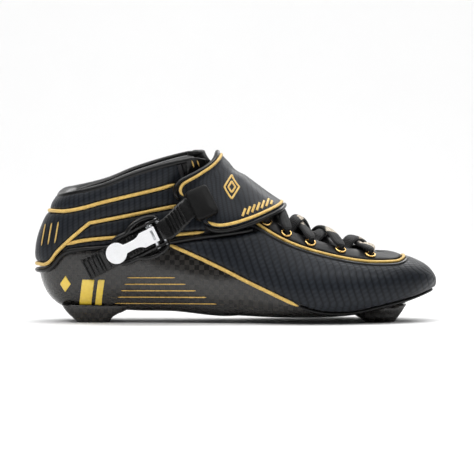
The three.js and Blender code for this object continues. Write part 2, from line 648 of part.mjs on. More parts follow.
// ---------------------------------------------------------------- lace
// One lace from the first pair of eyelets up, each half crossing over the tongue, going under the
// opposite edge and up through the next eyelet. Its ends lie on the tongue under the strap.
const UNDER_EYESTAY = (GAP + TONGUE.edge) / 2;
const LACE_STEP = 3.5;
const LACE_END = onSide(86 * SCALE.x, 98 * SCALE.z, -1)[0]; // section where the ends lie
function lace() {
  const places = EYELET_ROWS.map((row) => [-1, 1].map((side) => eyeletPlace(row, side)));
  const high = GAP + EYESTAY_WALL + EYELET.lip + GAP + LACE.thickness / 2;
  const crossing = [1.6, 3.5].map((rise) => TONGUE.middle + rise);
  const blend = ([s0, a0], [s1, a1], t) => {
    const [b0, b1] = [a0, a1].map((a) => (a < 0 ? a + 2 * Math.PI : a));
    return [s0 + t * (s1 - s0), b0 + t * (b1 - b0)];
  };
  const half = (first, level) => {
    const route = [];
    for (let i = 0; i + 1 < places.length; i++) {
      const [from, to] = [places[i][(first + i) % 2], places[i + 1][(first + i + 1) % 2]];
      const rise = (t) => high + (crossing[level] - high) * smooth((t - 0.08) / 0.27);
      for (const t of [0, 0.12, 0.3, 0.5])
        route.push([blend(from, to, t), rise(t), t === 0 ? 0.3 : 1]);
      const dive = crossing[level] - UNDER_EYESTAY;
      for (const t of [0.66, 0.75, 0.82, 0.9])
        route.push([blend(from, to, t), crossing[level] - dive * smooth((t - 0.7) / 0.17), 1]);
      route.push([to, UNDER_EYESTAY + 0.2, 0], [to, (high + UNDER_EYESTAY) / 2, 0]);
    }
    const last = places.length - 1;
    const from = places[last][(first + last) % 2];
    const rest = [LACE_END, Math.PI + ((first + last) % 2 ? 0.3 : -0.3)];
    for (const t of [0, 0.3, 0.6, 1]) route.push([blend(from, rest, t), high, 1]);
    return route;
  };
  const [one, two] = [half(0, 0), half(1, 1)];
  const bar = [0.08, 0.18, 0.3, 0.5, 0.7, 0.82, 0.92].map((t) => [
    blend(places[0][0], places[0][1], t),
    UNDER_EYESTAY + (crossing[0] - UNDER_EYESTAY) * smooth((Math.min(t, 1 - t) - 0.18) / 0.12),
    1,
  ]);
  const start = (side) => [
    [places[0][side], (high + UNDER_EYESTAY) / 2, 0],
    [places[0][side], UNDER_EYESTAY + 0.2, 0],
  ];
  const route = [...one.reverse(), ...start(0), ...bar, ...start(1).reverse(), ...two];
  const raw = route.map(([[s, a], offset]) => offsetPoint(s, a, offset));
  const curve = new THREE.CatmullRomCurve3(raw, false, "centripetal");
  curve.arcLengthDivisions = 1500;
  const count = Math.round(curve.getLength() / LACE_STEP);
  const points = curve.getSpacedPoints(count);
  const along = points.map((_, i) => curve.getUtoTmapping(i / count) * (raw.length - 1));
  const wide = along.map((t) => {
    const i = Math.min(Math.floor(t), raw.length - 2);
    return route[i][2] + (t - i) * (route[i + 1][2] - route[i][2]);
  });
  const ideal = points.map((p, i) => {
    const [s, a] = route[Math.round(along[i])][0];
    const tangent = points[Math.min(i + 1, count)].clone().sub(points[Math.max(i - 1, 0)]);
    const across = tangent.normalize().cross(lastNormal(s, a));
    return across.length() > 0.5 ? across.normalize() : null;
  });
  let previous = ideal.find((v) => v);
  const across = ideal.map((v) => {
    if (!v) return previous;
    if (v.dot(previous) < 0) v.negate();
    return (previous = v);
  });
  return sweep(points, across, (i) => [
    LACE.inHole + (LACE.width - LACE.inHole) * smooth(wide[i]),
    LACE.thickness + 0.4 * (1 - smooth(wide[i])),
  ], 6);
}

// ---------------------------------------------------------------- strap over the instep
const STRAP_FRONT = [[128, 80], [125, 73.5], [126, 70.5], [116, 67.2], [104.2, 63.3], [86.7, 60.4]];
const STRAP_BACK = [[59.2, 95.2], [70, 100.5], [78.5, 106], [84, 115]];
const strapEdges = [STRAP_FRONT, STRAP_BACK].map((line) => spline(line, 24));
const STRAP_LATERAL = [
  ...strapEdges[0], [78, 62.5], [68, 71], [58, 84], [56.5, 89.5], ...strapEdges[1],
];
const STRAP_MEDIAL = [
  ...strapEdges[0], [70, 61.2], [56, 60], [42, 57.5], [33, 57], [27.5, 61], [26.5, 67], [30, 73],
  [44, 84.5], ...strapEdges[1],
];
const ABOVE_STRAP = [[130, 150]];
const strapLateral = areaField([...STRAP_LATERAL, ...ABOVE_STRAP]);
const strapMedial = areaField([...STRAP_MEDIAL, ...ABOVE_STRAP]);
const strapArea = (p, a) =>
  Math.cos(a) > 0.8 ? 20 : Math.sin(a) < 0 ? strapLateral(p) : strapMedial(p);
// Longer facets sag more between its two layers, so the gap grows with the boot's length.
const STRAP = {
  onSide: 3.6, onLace: 5.6, pad: 0.6, gap: 0.7 * Math.max(1, SCALE.x) ** 2, web: 1.6, cord: 0.8,
};
const STRAP_TOP = STRAP.pad + STRAP.gap + STRAP.web;
const strapUnder = (s, a) => {
  const over = smooth((14 - opening(lastPoint(s, a), a)) / 6);
  return STRAP.onSide + (STRAP.onLace - STRAP.onSide) * over;
};
const strapLayer = (inset, from, to) =>
  wall(
    [(p, a) => strapArea(p, a) + inset],
    (s, a) => strapUnder(s, a) + from,
    (s, a) => strapUnder(s, a) + to,
  );
const strapPad = () => strapLayer(3, 0, STRAP.pad);
const instepStrap = () => strapLayer(STRAP.cord + 2 * GAP, STRAP.pad + STRAP.gap, STRAP_TOP);
function strapPiping(line) {
  const lateral = sidePlaces(line, -1, 24).filter(([, a]) => a > -3.12);
  lateral.push([lateral.at(-1)[0], -Math.PI]);
  const places = [...lateral, ...lateral.map(([s, a]) => [s, -a]).reverse().slice(1)];
  const middle = STRAP_TOP - STRAP.web / 2;
  return cord(places, (s, a) => strapUnder(s, a) + middle, STRAP.cord, 7);
}
const ANCHOR_PATCH = [[29, 61], [46, 61], [50, 72], [44, 80], [31, 71.5]];
const strapAnchor = () => {
  const patch = areaField(ANCHOR_PATCH);
  return wall([(p, a) => (Math.sin(a) < 0.3 ? 20 : patch(p))], 2.7, 3.3);
};

// ---------------------------------------------------------------- ratchet buckle
const BUCKLE = { u: 52, v: 34.4, lift: 5.6 };
const LADDER = { width: 14.5, thickness: 2, height: 1.5, from: -9, pitch: 3.2, tooth: 0.7 };
const KEEPER = {
  u: 99.2, v: 36.5, length: 16.5, width: LADDER.width + 7.5, height: 6.4, wall: 1, depth: 4,
};
const PLATE_BASE = { thickness: 1.2, wall: 1.4, channel: LADDER.width + 3 * GAP };
const LEVER = {
  pin: [11.4, 7.4], radius: 1.4, barrel: 2.8, width: PLATE_BASE.channel - 5.2, paddle: 7,
  reach: -15.9,
};
const PAWL = { pin: [17.3, 6.3], radius: 0.9, barrel: 1.9, width: PLATE_BASE.channel - 3.4 };
const FIT = 0.25; // radial play of a pin
const buckleFrame = hardwareFrame(BUCKLE.u, BUCKLE.v, BUCKLE.lift);
const keeperPlace = hardwarePlace(KEEPER.u, KEEPER.v);
const keeperFrame = frameAt(keeperPlace, strapUnder(...keeperPlace) + STRAP_TOP + GAP + 0.7, AXIS);
const RIVET = { x: -14, shank: 1.8, head: 3.2, foot: -1.6, dome: 0.9 };

// A side profile of [x, z] drawn out across the buckle.
function across(profile, width, middle = 0) {
  const shape = new THREE.Shape(profile.map(([x, z]) => new THREE.Vector2(x, z)));
  return new THREE.ExtrudeGeometry(shape, { depth: width, bevelEnabled: false, curveSegments: 8 })
    .rotateX(Math.PI / 2)
    .translate(0, middle + width / 2, 0);
}
const crossPin = ([x, z], radius, length, sides = 16) =>
  new THREE.CylinderGeometry(radius, radius, length, sides).translate(x, 0, z);

// A flat band along points, with the direction of its width at each.
const band = (points, widths, width, thickness) =>
  sweep(points, widths, () => [width * Math.SQRT2, thickness * Math.SQRT2], 4);

function buckleBase() {
  const half = [
    [-19, -2.2], [-16.5, 1.7], [-8, 1.7], [0, 2.5], [6, 5.7], [11, 7.1], [15, 4.9], [19.5, -0.1],
  ].map(([x, beyond]) => [x, PLATE_BASE.channel / 2 + beyond]);
  const outline = [...half, ...half.map(([x, y]) => [x, -y]).reverse()];
  const plate = new THREE.ExtrudeGeometry(
    new THREE.Shape(outline.map(([x, y]) => new THREE.Vector2(x, y))),
    { depth: PLATE_BASE.thickness, bevelEnabled: false },
  );
  const cheek = [
    [-6, 0.6], [-3, 4.4], [4, 7], [8, 9.4], [12, 10.2], [15, 9.6], [18.4, 8.2], [19.3, 5], [19.3, 0.6],
  ].reverse();
  const middle = (PLATE_BASE.channel + PLATE_BASE.wall) / 2;
  const cheeks = Object.values(SIDES).map((side) => across(cheek, PLATE_BASE.wall, side * middle));
  return subtract(
    unite(plate, ...cheeks),
    crossPin(LEVER.pin, LEVER.radius + FIT, 40),
    crossPin(PAWL.pin, PAWL.radius + FIT, 40),
    upright(RIVET.shank + FIT, -1, 3, RIVET.x, 0),
  );
}
function buckleLever() {
  const outline = new THREE.Shape();
  const [neck, head] = [3, LEVER.width / 2];
  const join = Math.asin(neck / LEVER.paddle);
  outline.moveTo(LEVER.pin[0], head);
  outline.lineTo(4, head);
  outline.quadraticCurveTo(2, neck, -1, neck);
  outline.lineTo(LEVER.reach + LEVER.paddle * Math.cos(join), neck);
  outline.absarc(LEVER.reach, 0, LEVER.paddle, join, 2 * Math.PI - join, false);
  outline.lineTo(-1, -neck);
  outline.quadraticCurveTo(2, -neck, 4, -head);
  outline.lineTo(LEVER.pin[0], -head);
  const plate = new THREE.ExtrudeGeometry(outline, {
    depth: 2, bevelEnabled: false, curveSegments: 10,
  }).translate(0, 0, LEVER.pin[1] + LEVER.barrel - 2);
  const barrel = crossPin(LEVER.pin, LEVER.barrel, LEVER.width, 20);
  const slot = box(1.6, 6.4, 1, LEVER.pin[0], 0, LEVER.pin[1] + LEVER.barrel);
  return subtract(unite(plate, barrel), slot, crossPin(LEVER.pin, LEVER.radius + FIT, 40));
}
function releasePawl() {
  const [x, z] = PAWL.pin;
  const toothProfile = [[x - 1.7, z - 1.7], [x - 0.4, z - 1.7], [x, z], [x - 1.5, z]];
  const tabProfile = [[x, z + 0.2], [x + 5.6, z + 0.9], [x + 5.6, z + 2], [x, z + 1.8]];
  const [tooth, tab] = [toothProfile, tabProfile].map((profile) => across(profile, PAWL.width));
  const barrel = crossPin(PAWL.pin, PAWL.barrel, PAWL.width);
  return subtract(unite(barrel, tooth, tab), crossPin(PAWL.pin, PAWL.radius + FIT, 40));
}
// A hinge pin along Y, centred on the origin.
const pin = (radius) => crossPin([0, 0], radius, PLATE_BASE.channel + 2 * PLATE_BASE.wall + 1);
// A torsion spring round the Y axis, between two distances from the middle.
function coil({ radius, wire, from, to, turns }) {
  const perTurn = 9;
  const count = turns * perTurn;
  const points = Array.from({ length: count + 1 }, (_, i) => {
    const a = (2 * Math.PI * i) / perTurn;
    const y = from + wire + ((to - from - 2 * wire) * i) / count;
    return new THREE.Vector3(radius * Math.cos(a), y, radius * Math.sin(a));
  });
  const side = points.map(() => new THREE.Vector3(0, 1, 0));
  return sweep(points, side, () => [2 * wire, 2 * wire], 5);
}
const SPRING_END = PLATE_BASE.channel / 2 - 0.2;
const LEVER_SPRING = {
  radius: 2.2, wire: 0.35, from: LEVER.width / 2 + 0.2, to: SPRING_END, turns: 2,
};
const PAWL_SPRING = {
  radius: 1.45, wire: 0.25, from: PAWL.width / 2 + 0.25, to: SPRING_END, turns: 1,
};

// The ladder runs straight through the buckle, then bends down to the keeper.
function ladder() {
  const local = (frame, x, z) => new THREE.Vector3(x, 0, z).applyMatrix4(frame);
  const level = LADDER.height + LADDER.thickness / 2;
  const inKeeper = KEEPER.wall + GAP + LADDER.thickness / 2;
  const raw = [
    ...[LADDER.from, 0, 8, 16, 23].map((x) => local(buckleFrame, x, level)),
    ...[-10, -5, 0, 3.6].map((x) => local(keeperFrame, x, inKeeper)),
  ];
  const curve = new THREE.CatmullRomCurve3(raw, false, "centripetal");
  const points = curve.getSpacedPoints(24);
  const [y0, y1] = [buckleFrame, keeperFrame].map((frame) =>
    new THREE.Vector3().setFromMatrixColumn(frame, 1));
  const sides = points.map((_, i) => y0.clone().lerp(y1, smooth((i / 24 - 0.5) / 0.3)).normalize());
  const strip = band(points, sides, LADDER.width, LADDER.thickness);
  const length = curve.getLength();
  const teeth = Array.from({ length: Math.floor((length - 18) / LADDER.pitch) }, (_, i) => {
    const t = (3 + i * LADDER.pitch) / length;
    const x = curve.getTangentAt(t);
    const side = y0.clone().lerp(y1, smooth((t - 0.5) / 0.3));
    const z = x.clone().cross(side).normalize();
    const frame = new THREE.Matrix4()
      .makeBasis(x, z.clone().cross(x), z)
      .setPosition(curve.getPointAt(t));
    return box(1, LADDER.width - 2.4, LADDER.tooth + 0.5, 0, 0,
      (LADDER.thickness + LADDER.tooth - 0.5) / 2).applyMatrix4(frame);
  });
  return unite(strip, ...teeth);
}
function keeper() {
  const [l, h] = [KEEPER.length / 2, KEEPER.height];
  const profile = [
    [-l, 0], [l, 0], [l, 0.36 * h], [0.4 * l, 0.84 * h], [0.22 * l, h], [0.04 * l, 0.86 * h],
    [-0.8 * l, 0.78 * h], [-l, 0.6 * h],
  ];
  const slot = box(
    l + KEEPER.depth + 1, LADDER.width + 2 * GAP, LADDER.thickness + 2 * GAP,
    (KEEPER.depth - l - 1) / 2, 0, KEEPER.wall + GAP + LADDER.thickness / 2,
  );
  return subtract(across(profile, KEEPER.width), slot);
}

// The ribbed strap that holds the buckle's tail to the shell.
const ANCHOR = { from: 15.2, to: 41, width: 15, thickness: 1.6, low: 0.5, high: 3.7 };
const anchorHeight = (u) =>
  ANCHOR.low + (ANCHOR.high - ANCHOR.low) * smooth((u - 24) / 5) + ANCHOR.thickness / 2;
function anchorStrap() {
  const steps = Array.from({ length: 14 }, (_, i) => THREE.MathUtils.lerp(ANCHOR.from, ANCHOR.to, i / 13));
  const points = steps.map((u) => offsetPoint(...hardwarePlace(u, BUCKLE.v), anchorHeight(u)));
  const widths = steps.map((u) =>
    new THREE.Vector3().setFromMatrixColumn(hardwareFrame(u, BUCKLE.v, 0), 1));
  const ribs = [26.4, 28.8, 31.2].map((u) =>
    box(1, ANCHOR.width - 2, 1, 0, 0, ANCHOR.thickness / 2)
      .applyMatrix4(hardwareFrame(u, BUCKLE.v, anchorHeight(u))));
  return subtract(
    unite(band(points, widths, ANCHOR.width, ANCHOR.thickness), ...ribs),
    peg(1.9, 8, hardwareFrame(...ANCHOR_BOLT, 0)),
    upright(RIVET.shank + FIT, -6, 2, RIVET.x, 0).applyMatrix4(buckleFrame),
  );
}
const anchorTop = ANCHOR.low + ANCHOR.thickness + 2 * GAP;
const SCREW = { shank: 1.5, head: 4.2, low: -4.2, dome: 1.5 };
const anchorScrew = () => turned([
  [0, SCREW.low], [SCREW.shank, SCREW.low], [SCREW.shank, anchorTop], [SCREW.head, anchorTop],
  [SCREW.head - 0.4, anchorTop + SCREW.dome], [0, anchorTop + SCREW.dome],
]);
const NUT_SEAT = -4.3;
const anchorNut = () => turned([
  [NUT.thread, NUT_SEAT], [NUT.flange, NUT_SEAT], [NUT.flange, NUT_SEAT + NUT.thickness],
  [NUT.barrel, NUT_SEAT + NUT.thickness], [NUT.barrel, -GAP], [NUT.thread, -GAP],
]);
const RIVET_TOP = PLATE_BASE.thickness + GAP;
const buckleRivet = () => turned([
  [0, RIVET.foot], [RIVET.shank, RIVET.foot], [RIVET.shank, RIVET_TOP], [RIVET.head, RIVET_TOP],
  [RIVET.head - 0.6, RIVET_TOP + RIVET.dome], [0, RIVET_TOP + RIVET.dome],
]);

// ---------------------------------------------------------------- assembly
// Each finish is a colour, a roughness and a metalness.
const FINISHES = {
  carbon: [0x2c2824, 0.35, 0],
  plate: [0x1b1c1e, 0.4, 1],
  lining: [0x26272a, 0.9, 0],
  foam: [0x232326, 0.85, 0],
  tongue: [0x1f2124, 0.7, 0],
  cuff: [0x262a2e, 0.55, 0],
  vamp: [0x292d31, 0.5, 0],
  eyestay: [0x1c1e21, 0.45, 0],
  trim: [0x121315, 0.4, 0],
  gold: [0xb08140, 0.6, 0],
  brass: [0xc9973f, 0.3, 1],
  lace: [0x191a1c, 0.85, 0],
  strap: [0x25292d, 0.55, 0],
  plastic: [0x151618, 0.35, 0],
  steel: [0x9a9ca0, 0.3, 1],
  silver: [0xe3e5e7, 0.25, 1],
};
const boot = new THREE.Group();
// A group inside another, placed by a matrix.
function group(parent, place = new THREE.Matrix4()) {
  const made = new THREE.Group();
  made.applyMatrix4(place);
  parent.add(made);
  return made;
}
function add(parent, name, geometry, finish, place = new THREE.Matrix4()) {
  const [color, roughness, metalness] = FINISHES[finish];
  const material = new THREE.MeshStandardMaterial({ color, roughness, metalness });
  const mesh = new THREE.Mesh(geometry, material);
  mesh.name = name;
  mesh.applyMatrix4(place);
  parent.add(mesh);
}
const moved = (x, y, z) => new THREE.Matrix4().makeTranslation(x, y, z);

const base = group(boot);
add(base, "carbon_shell", carbonShell(), "carbon");
add(base, "heel_mount_plate", mountPlate(), "plate");
add(base, "toe_mount_plate", mountPlate(), "plate", moved(MOUNT_SPACING, TOE_BLOCK_SHIFT, 0));

const inside = group(boot);
add(inside, "liner", liner(), "lining");
add(inside, "footbed", footbed(), "lining");
add(inside, "achilles_pad", pad([(p, a) => Math.abs(a) - 0.62]), "foam");
for (const [name, side] of Object.entries(SIDES)) {
  const cuts = [(p, a) => 0.68 - side * a, (p) => p.x - 88 * SCALE.x, outsideTongue];
  add(inside, `ankle_pad_${name}`, pad(cuts), "foam");
}
add(inside, "tongue", tongue(), "tongue");

const upper = group(boot);
const middle = [(p) => pipingTop(p) + SEAM, (p) => SEAM - pipingHeel(p)];
add(upper, "cuff_top_panel", cuff((p) => SEAM - pipingTop(p)), "cuff");
add(upper, "cuff_middle_panel", cuff(...middle), "cuff");
for (const [name, side] of Object.entries(SIDES)) {
  const underHeelLine = (p) => pipingHeel(p) + SEAM;
  const lower = [underHeelLine, (p) => SEAM - pipingBranch(p), (p) => -side * p.y];
  const edge = [(p) => -side * p.y, (p) => -19 * SCALE.x - p.x, underHeelLine, (p) => pipingBranch(p) + SEAM];
  add(upper, `cuff_lower_panel_${name}`, cuff(...lower), "cuff");
  add(upper, `cuff_edge_panel_${name}`, cuff(...edge), "cuff");
}
add(upper, "vamp", vamp(), "vamp");
add(upper, "eyestay", eyestay(), "eyestay");
add(upper, "collar_binding", collarBinding(), "trim");
add(upper, "cuff_binding", cuffBinding(), "trim");
add(upper, "vamp_binding", vampBinding(), "trim");
add(upper, "piping_top", piping(PIPING_TOP, -29.5, 58), "gold");
add(upper, "piping_heel", piping(PIPING_HEEL, -38, 74), "gold");
for (const [name, side] of Object.entries(SIDES)) {
  add(upper, `piping_branch_${name}`, oneSide(PIPING_BRANCH, -11, 88, side), "gold");
  add(upper, `piping_diagonal_${name}`, oneSide(VAMP_EDGE, 57, 137, side), "gold");
}
add(upper, "piping_throat", throatPiping(), "gold");

const lacing = group(boot);
EYELET_ROWS.forEach((row, i) => {
  for (const [name, side] of Object.entries(SIDES))
    add(lacing, `eyelet_${name}_${i + 1}`, eyelet(), "brass", eyeletFrame(row, side));
});
add(lacing, "lace", lace(), "lace");

const strap = group(boot);
add(strap, "strap_pad", strapPad(), "foam");
add(strap, "instep_strap", instepStrap(), "strap");
add(strap, "strap_piping_front", strapPiping([...strapEdges[0]].reverse()), "gold");
add(strap, "strap_piping_back", strapPiping(strapEdges[1]), "gold");
add(strap, "strap_anchor", strapAnchor(), "trim");
add(strap, "ladder", ladder(), "plastic");
add(strap, "keeper", keeper(), "plastic", keeperFrame);

const buckle = group(boot, buckleFrame);
add(buckle, "buckle_base", buckleBase(), "plastic");
add(buckle, "buckle_lever", buckleLever(), "silver");
add(buckle, "release_pawl", releasePawl(), "plastic");
add(buckle, "buckle_rivet", buckleRivet(), "steel", moved(RIVET.x, 0, 0));
const leverHinge = group(buckle, moved(LEVER.pin[0], 0, LEVER.pin[1]));
add(leverHinge, "lever_pin", pin(LEVER.radius), "steel");
add(leverHinge, "lever_spring", coil(LEVER_SPRING), "steel");
const pawlHinge = group(buckle, moved(PAWL.pin[0], 0, PAWL.pin[1]));
add(pawlHinge, "pawl_pin", pin(PAWL.radius), "steel");
add(pawlHinge, "pawl_spring", coil(PAWL_SPRING), "steel");

const anchor = group(boot);
add(anchor, "anchor_strap", anchorStrap(), "plastic");
add(anchor, "anchor_screw", anchorScrew(), "steel", hardwareFrame(...ANCHOR_BOLT, 0));
add(anchor, "anchor_nut", anchorNut(), "steel", hardwareFrame(...ANCHOR_BOLT, 0));

export default boot;
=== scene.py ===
"""Speed skating boot, right foot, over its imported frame.

Millimetres in the shape code, metres in the meshes. The outer surface of the shell and upper is
one surface, the last: panels are pieces of it between two offsets, and cords run along it.
"""

import math

import bmesh
import bpy
import numpy as np
from mathutils import Matrix, Vector


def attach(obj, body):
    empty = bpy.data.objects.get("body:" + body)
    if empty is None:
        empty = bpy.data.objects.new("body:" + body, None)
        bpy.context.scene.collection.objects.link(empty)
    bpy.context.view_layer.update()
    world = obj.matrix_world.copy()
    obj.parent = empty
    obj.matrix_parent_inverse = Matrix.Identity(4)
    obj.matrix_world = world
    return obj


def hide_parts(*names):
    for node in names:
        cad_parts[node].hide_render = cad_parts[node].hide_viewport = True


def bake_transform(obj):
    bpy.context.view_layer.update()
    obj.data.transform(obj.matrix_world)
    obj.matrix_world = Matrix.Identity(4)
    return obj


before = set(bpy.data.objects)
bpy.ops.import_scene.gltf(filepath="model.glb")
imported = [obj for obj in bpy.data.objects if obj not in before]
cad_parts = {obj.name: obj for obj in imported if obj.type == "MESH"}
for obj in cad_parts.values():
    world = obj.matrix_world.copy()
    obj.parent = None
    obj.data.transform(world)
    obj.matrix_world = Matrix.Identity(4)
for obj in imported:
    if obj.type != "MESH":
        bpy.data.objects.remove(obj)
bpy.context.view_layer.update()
MM = 0.001

# ------------------------------------------------------------------ sizes, as in the CAD model
PIVOT_X, PIVOT_Z, TOE_X, SPLIT = 98, 120, 232.6, 0.5
FAN = [
    (8, 112, 23, 33.5, 0.52, 2.3, 2.2),
    (14, 123, 22.5, 33.5, 0.52, 2.3, 2.3),
    (20, 137, 22, 33.5, 0.54, 2.2, 2.4),
    (26, 151, 21.5, 33.5, 0.56, 2.1, 2.4),
    (32, 160, 21.2, 33.8, 0.58, 2.0, 2.4),
    (38, 164.5, 21, 34, 0.6, 1.95, 2.5),
    (43, 161.5, 21, 34, 0.61, 1.9, 2.6),
    (48, 150.5, 21, 33.8, 0.62, 1.85, 2.7),
    (56, 135.5, 21.5, 33.5, 0.63, 1.8, 2.8),
    (70, 120.5, 23.8, 33.5, 0.66, 1.75, 3.0),
    (90, 115.8, 27.2, 35, 0.7, 1.7, 3.2),
]
SLICES = [
    (92.8, 4.2, 35, -2.2, 0.7, 1.7, 3.2),
    (77.6, 3.3, 41, -2.4, 0.7, 1.65, 3.2),
    (65.8, 3, 45.3, -1.4, 0.68, 1.65, 3.2),
    (58, 3.2, 47, 0.6, 0.64, 1.7, 3.2),
    (52.5, 4.5, 45.4, 2.4, 0.6, 1.8, 3.1),
    (48.5, 7, 41.3, 4, 0.57, 1.95, 3.0),
    (45.2, 10.5, 35.5, 5.2, 0.55, 2.2, 2.8),
    (41, 14.5, 28.3, 6.2, 0.52, 2.3, 2.5),
    (36.8, 18.5, 19.4, 7, 0.5, 2.3, 2.3),
    (31.6, 22.3, 9.8, 7.6, 0.5, 2.2, 2.2),
    (26.5, 26.5, 0, 8, 0.5, 2.1, 2.1),
]
COLLAR = [
    (-40, 84.5), (-22, 88), (-8, 90.8), (8, 95), (27, 102.4), (45, 107.8), (62, 112), (90, 118),
]
COLLAR_MEDIAL_RISE = 4
CUFF_LOW = [
    (-42, 35), (-34, 34), (-30, 34.8), (-26, 37.2), (-21.5, 42.8), (-17, 46.4), (-10, 48.2),
    (10, 50), (50, 53), (70, 56), (98, 59.5), (114, 62.5), (126, 68),
]
PIPING_TOP = [
    (-42, 75.4), (-29.6, 75.4), (-18, 75.3), (-7, 77.4), (7, 81.4), (28, 86.6), (46, 91), (58, 94.6),
]
PIPING_HEEL = [
    (-44, 41), (-39.7, 40.6), (-32.3, 39.6), (-28.4, 41.4), (-23, 48.2), (-18.4, 52.8),
    (-11.7, 58.9), (-5, 64.6), (0, 67.4), (6, 69.2), (28, 73.4), (46, 77), (60, 79.4),
    (78, 81.5),
]
PIPING_BRANCH = [(-18, 52.4), (-12, 54.6), (-4, 56.2), (9.7, 57.6), (30, 58.7), (56, 59.7), (92, 62.9)]
VAMP_EDGE = [
    (51, 53.6), (78, 41.5), (108, 27), (138, 13.4), (150, 9.4), (164, 8), (178, 8.8), (190, 11.4),
    (202, 14), (217, 17.6), (226, 20.6), (231, 22.2), (234, 22.8),
]
SHELL_TOP = [
    (-42, 66), (-30, 66), (-5, 64), (25, 62), (50, 58), (78, 47), (108, 33), (136, 22), (165, 17),
    (190, 20), (210, 25), (225, 29.5), (234, 31),
]
THROAT = [
    (57, 112), (61, 99), (69, 87.5), (83, 79), (100, 73.5), (109.3, 67.6), (119.7, 60.6),
    (130, 55), (140.3, 50.8), (152.6, 47), (163.4, 44.4), (176.3, 41.9), (188, 40.6),
    (199, 40.4), (206, 40.9), (209.6, 42.2), (211.4, 43.6),
]
OPENING = [(60, 19), (100, 17.5), (117, 16.5), (146, 19.5), (167, 19.5), (187, 17)]
OPENING_END = 200
OVERLAP = [(60, 0), (70, 0.5), (86, 6), (120, 6)]
EYELETS = [(187.2, 44.6), (167, 48), (146.5, 53), (130.2, 59.6), (116.7, 67.4)]
SHELL_WALL, LINER_WALL, GAP = 2.4, 2.8, 0.3
LINER_OUT = -SHELL_WALL - GAP
LINER_IN = LINER_OUT - LINER_WALL
CUFF_OUT, VAMP_OUT, EYESTAY_OUT = 1.8, 2.0, 1.5
PIPING = 1.1
SEAM = PIPING + 0.35
COLLAR_ROLL = (8, 5.6)
AXIS = np.array([0.894, 0, 0.447])


# ------------------------------------------------------------------ the last
def smooth(x):
    x = np.clip(x, 0, 1)
    return x * x * (3 - 2 * x)


def through(pairs):
    """A smooth function through (x, y) pairs."""
    x = np.array([p[0] for p in pairs], float)
    y = np.array([p[1] for p in pairs], float)
    lo = np.maximum(np.arange(len(x)) - 1, 0)
    hi = np.minimum(np.arange(len(x)) + 1, len(x) - 1)
    slope = (y[hi] - y[lo]) / (x[hi] - x[lo])

    def f(t):
        t = np.asarray(t, float)
        i = np.clip(np.searchsorted(x, t, side="right") - 1, 0, len(x) - 2)
        h = x[i + 1] - x[i]
        u = np.clip((t - x[i]) / h, 0, 1)
        a = (2 * u**3 - 3 * u**2 + 1) * y[i] + (3 * u**2 - 2 * u**3) * y[i + 1]
        return a + h * ((u**3 - 2 * u**2 + u) * slope[i] + (u**3 - u**2) * slope[i + 1])

    return f


fan_at = [through([(row[0], row[c]) for row in FAN]) for c in range(1, 7)]
slice_at = [through([(i / 10, row[c]) for i, row in enumerate(SLICES)]) for c in range(7)]


def section(s):
    """The last's section at s: place, direction, reaches, half width, squareness and shift."""
    angle = np.clip(8 + 82 * s / SPLIT, 8, 90)
    t = np.clip((s - SPLIT) / (1 - SPLIT), 0, 1)
    fan = [f(angle) for f in fan_at]
    top, bottom, half, shift, mid, n_in, n_out = [f(t) for f in slice_at]
    ahead = s > SPLIT
    pick = lambda a, b: np.where(ahead, a, b)
    return {
        "x": pick(PIVOT_X + (TOE_X - PIVOT_X) * np.sin(t * math.pi / 2), PIVOT_X),
        "ox": pick(0, -np.cos(np.radians(angle))),
        "oz": pick(-1, -np.sin(np.radians(angle))),
        "out": pick(PIVOT_Z - bottom, fan[0]),
        "inner": pick(PIVOT_Z - top, fan[1]),
        "half": pick(half, fan[2]),
        "mid": pick(mid, fan[3]),
        "n_in": pick(n_in, fan[4]),
        "n_out": pick(n_out, fan[5]),
        "shift": pick(shift, SLICES[0][3] * smooth((angle - 40) / 50)),
    }


def last_point(s, a):
    """Points of the last, (n, 3), for arrays of s (ankle 0 to toe 1) and a (heel or sole 0)."""
    s, a = np.broadcast_arrays(np.clip(np.asarray(s, float), 0, 1), np.asarray(a, float))
    c = section(s)
    ca, sa = np.cos(a), np.sin(a)
    n = np.where(ca > 0, c["n_out"], c["n_in"])
    r = (np.abs(ca) ** n + np.abs(sa) ** n) ** (-1 / n)
    middle = c["inner"] + c["mid"] * (c["out"] - c["inner"])
    reach = np.where(ca > 0, c["out"] - middle, middle - c["inner"])
    rho = middle + reach * r * ca
    y = c["shift"] + c["half"] * r * sa
    return np.stack([c["x"] + rho * c["ox"], y, PIVOT_Z + rho * c["oz"]], axis=-1)


def unit(v):
    return v / np.maximum(np.linalg.norm(v, axis=-1, keepdims=True), 1e-9)


def last_normal(s, a):
    s, a = np.broadcast_arrays(np.asarray(s, float), np.asarray(a, float))
    along = last_point(np.minimum(s + 0.0015, 0.9999), a) - last_point(np.maximum(s - 0.0015, 0), a)
    around = last_point(s, a + 0.015) - last_point(s, a - 0.015)
    normal = unit(np.cross(around, along))
    return np.where((s > 0.9985)[..., None], np.array([1.0, 0, 0]), normal)


def offset_point(s, a, offset):
    return last_point(s, a) + last_normal(s, a) * np.asarray(offset)[..., None]


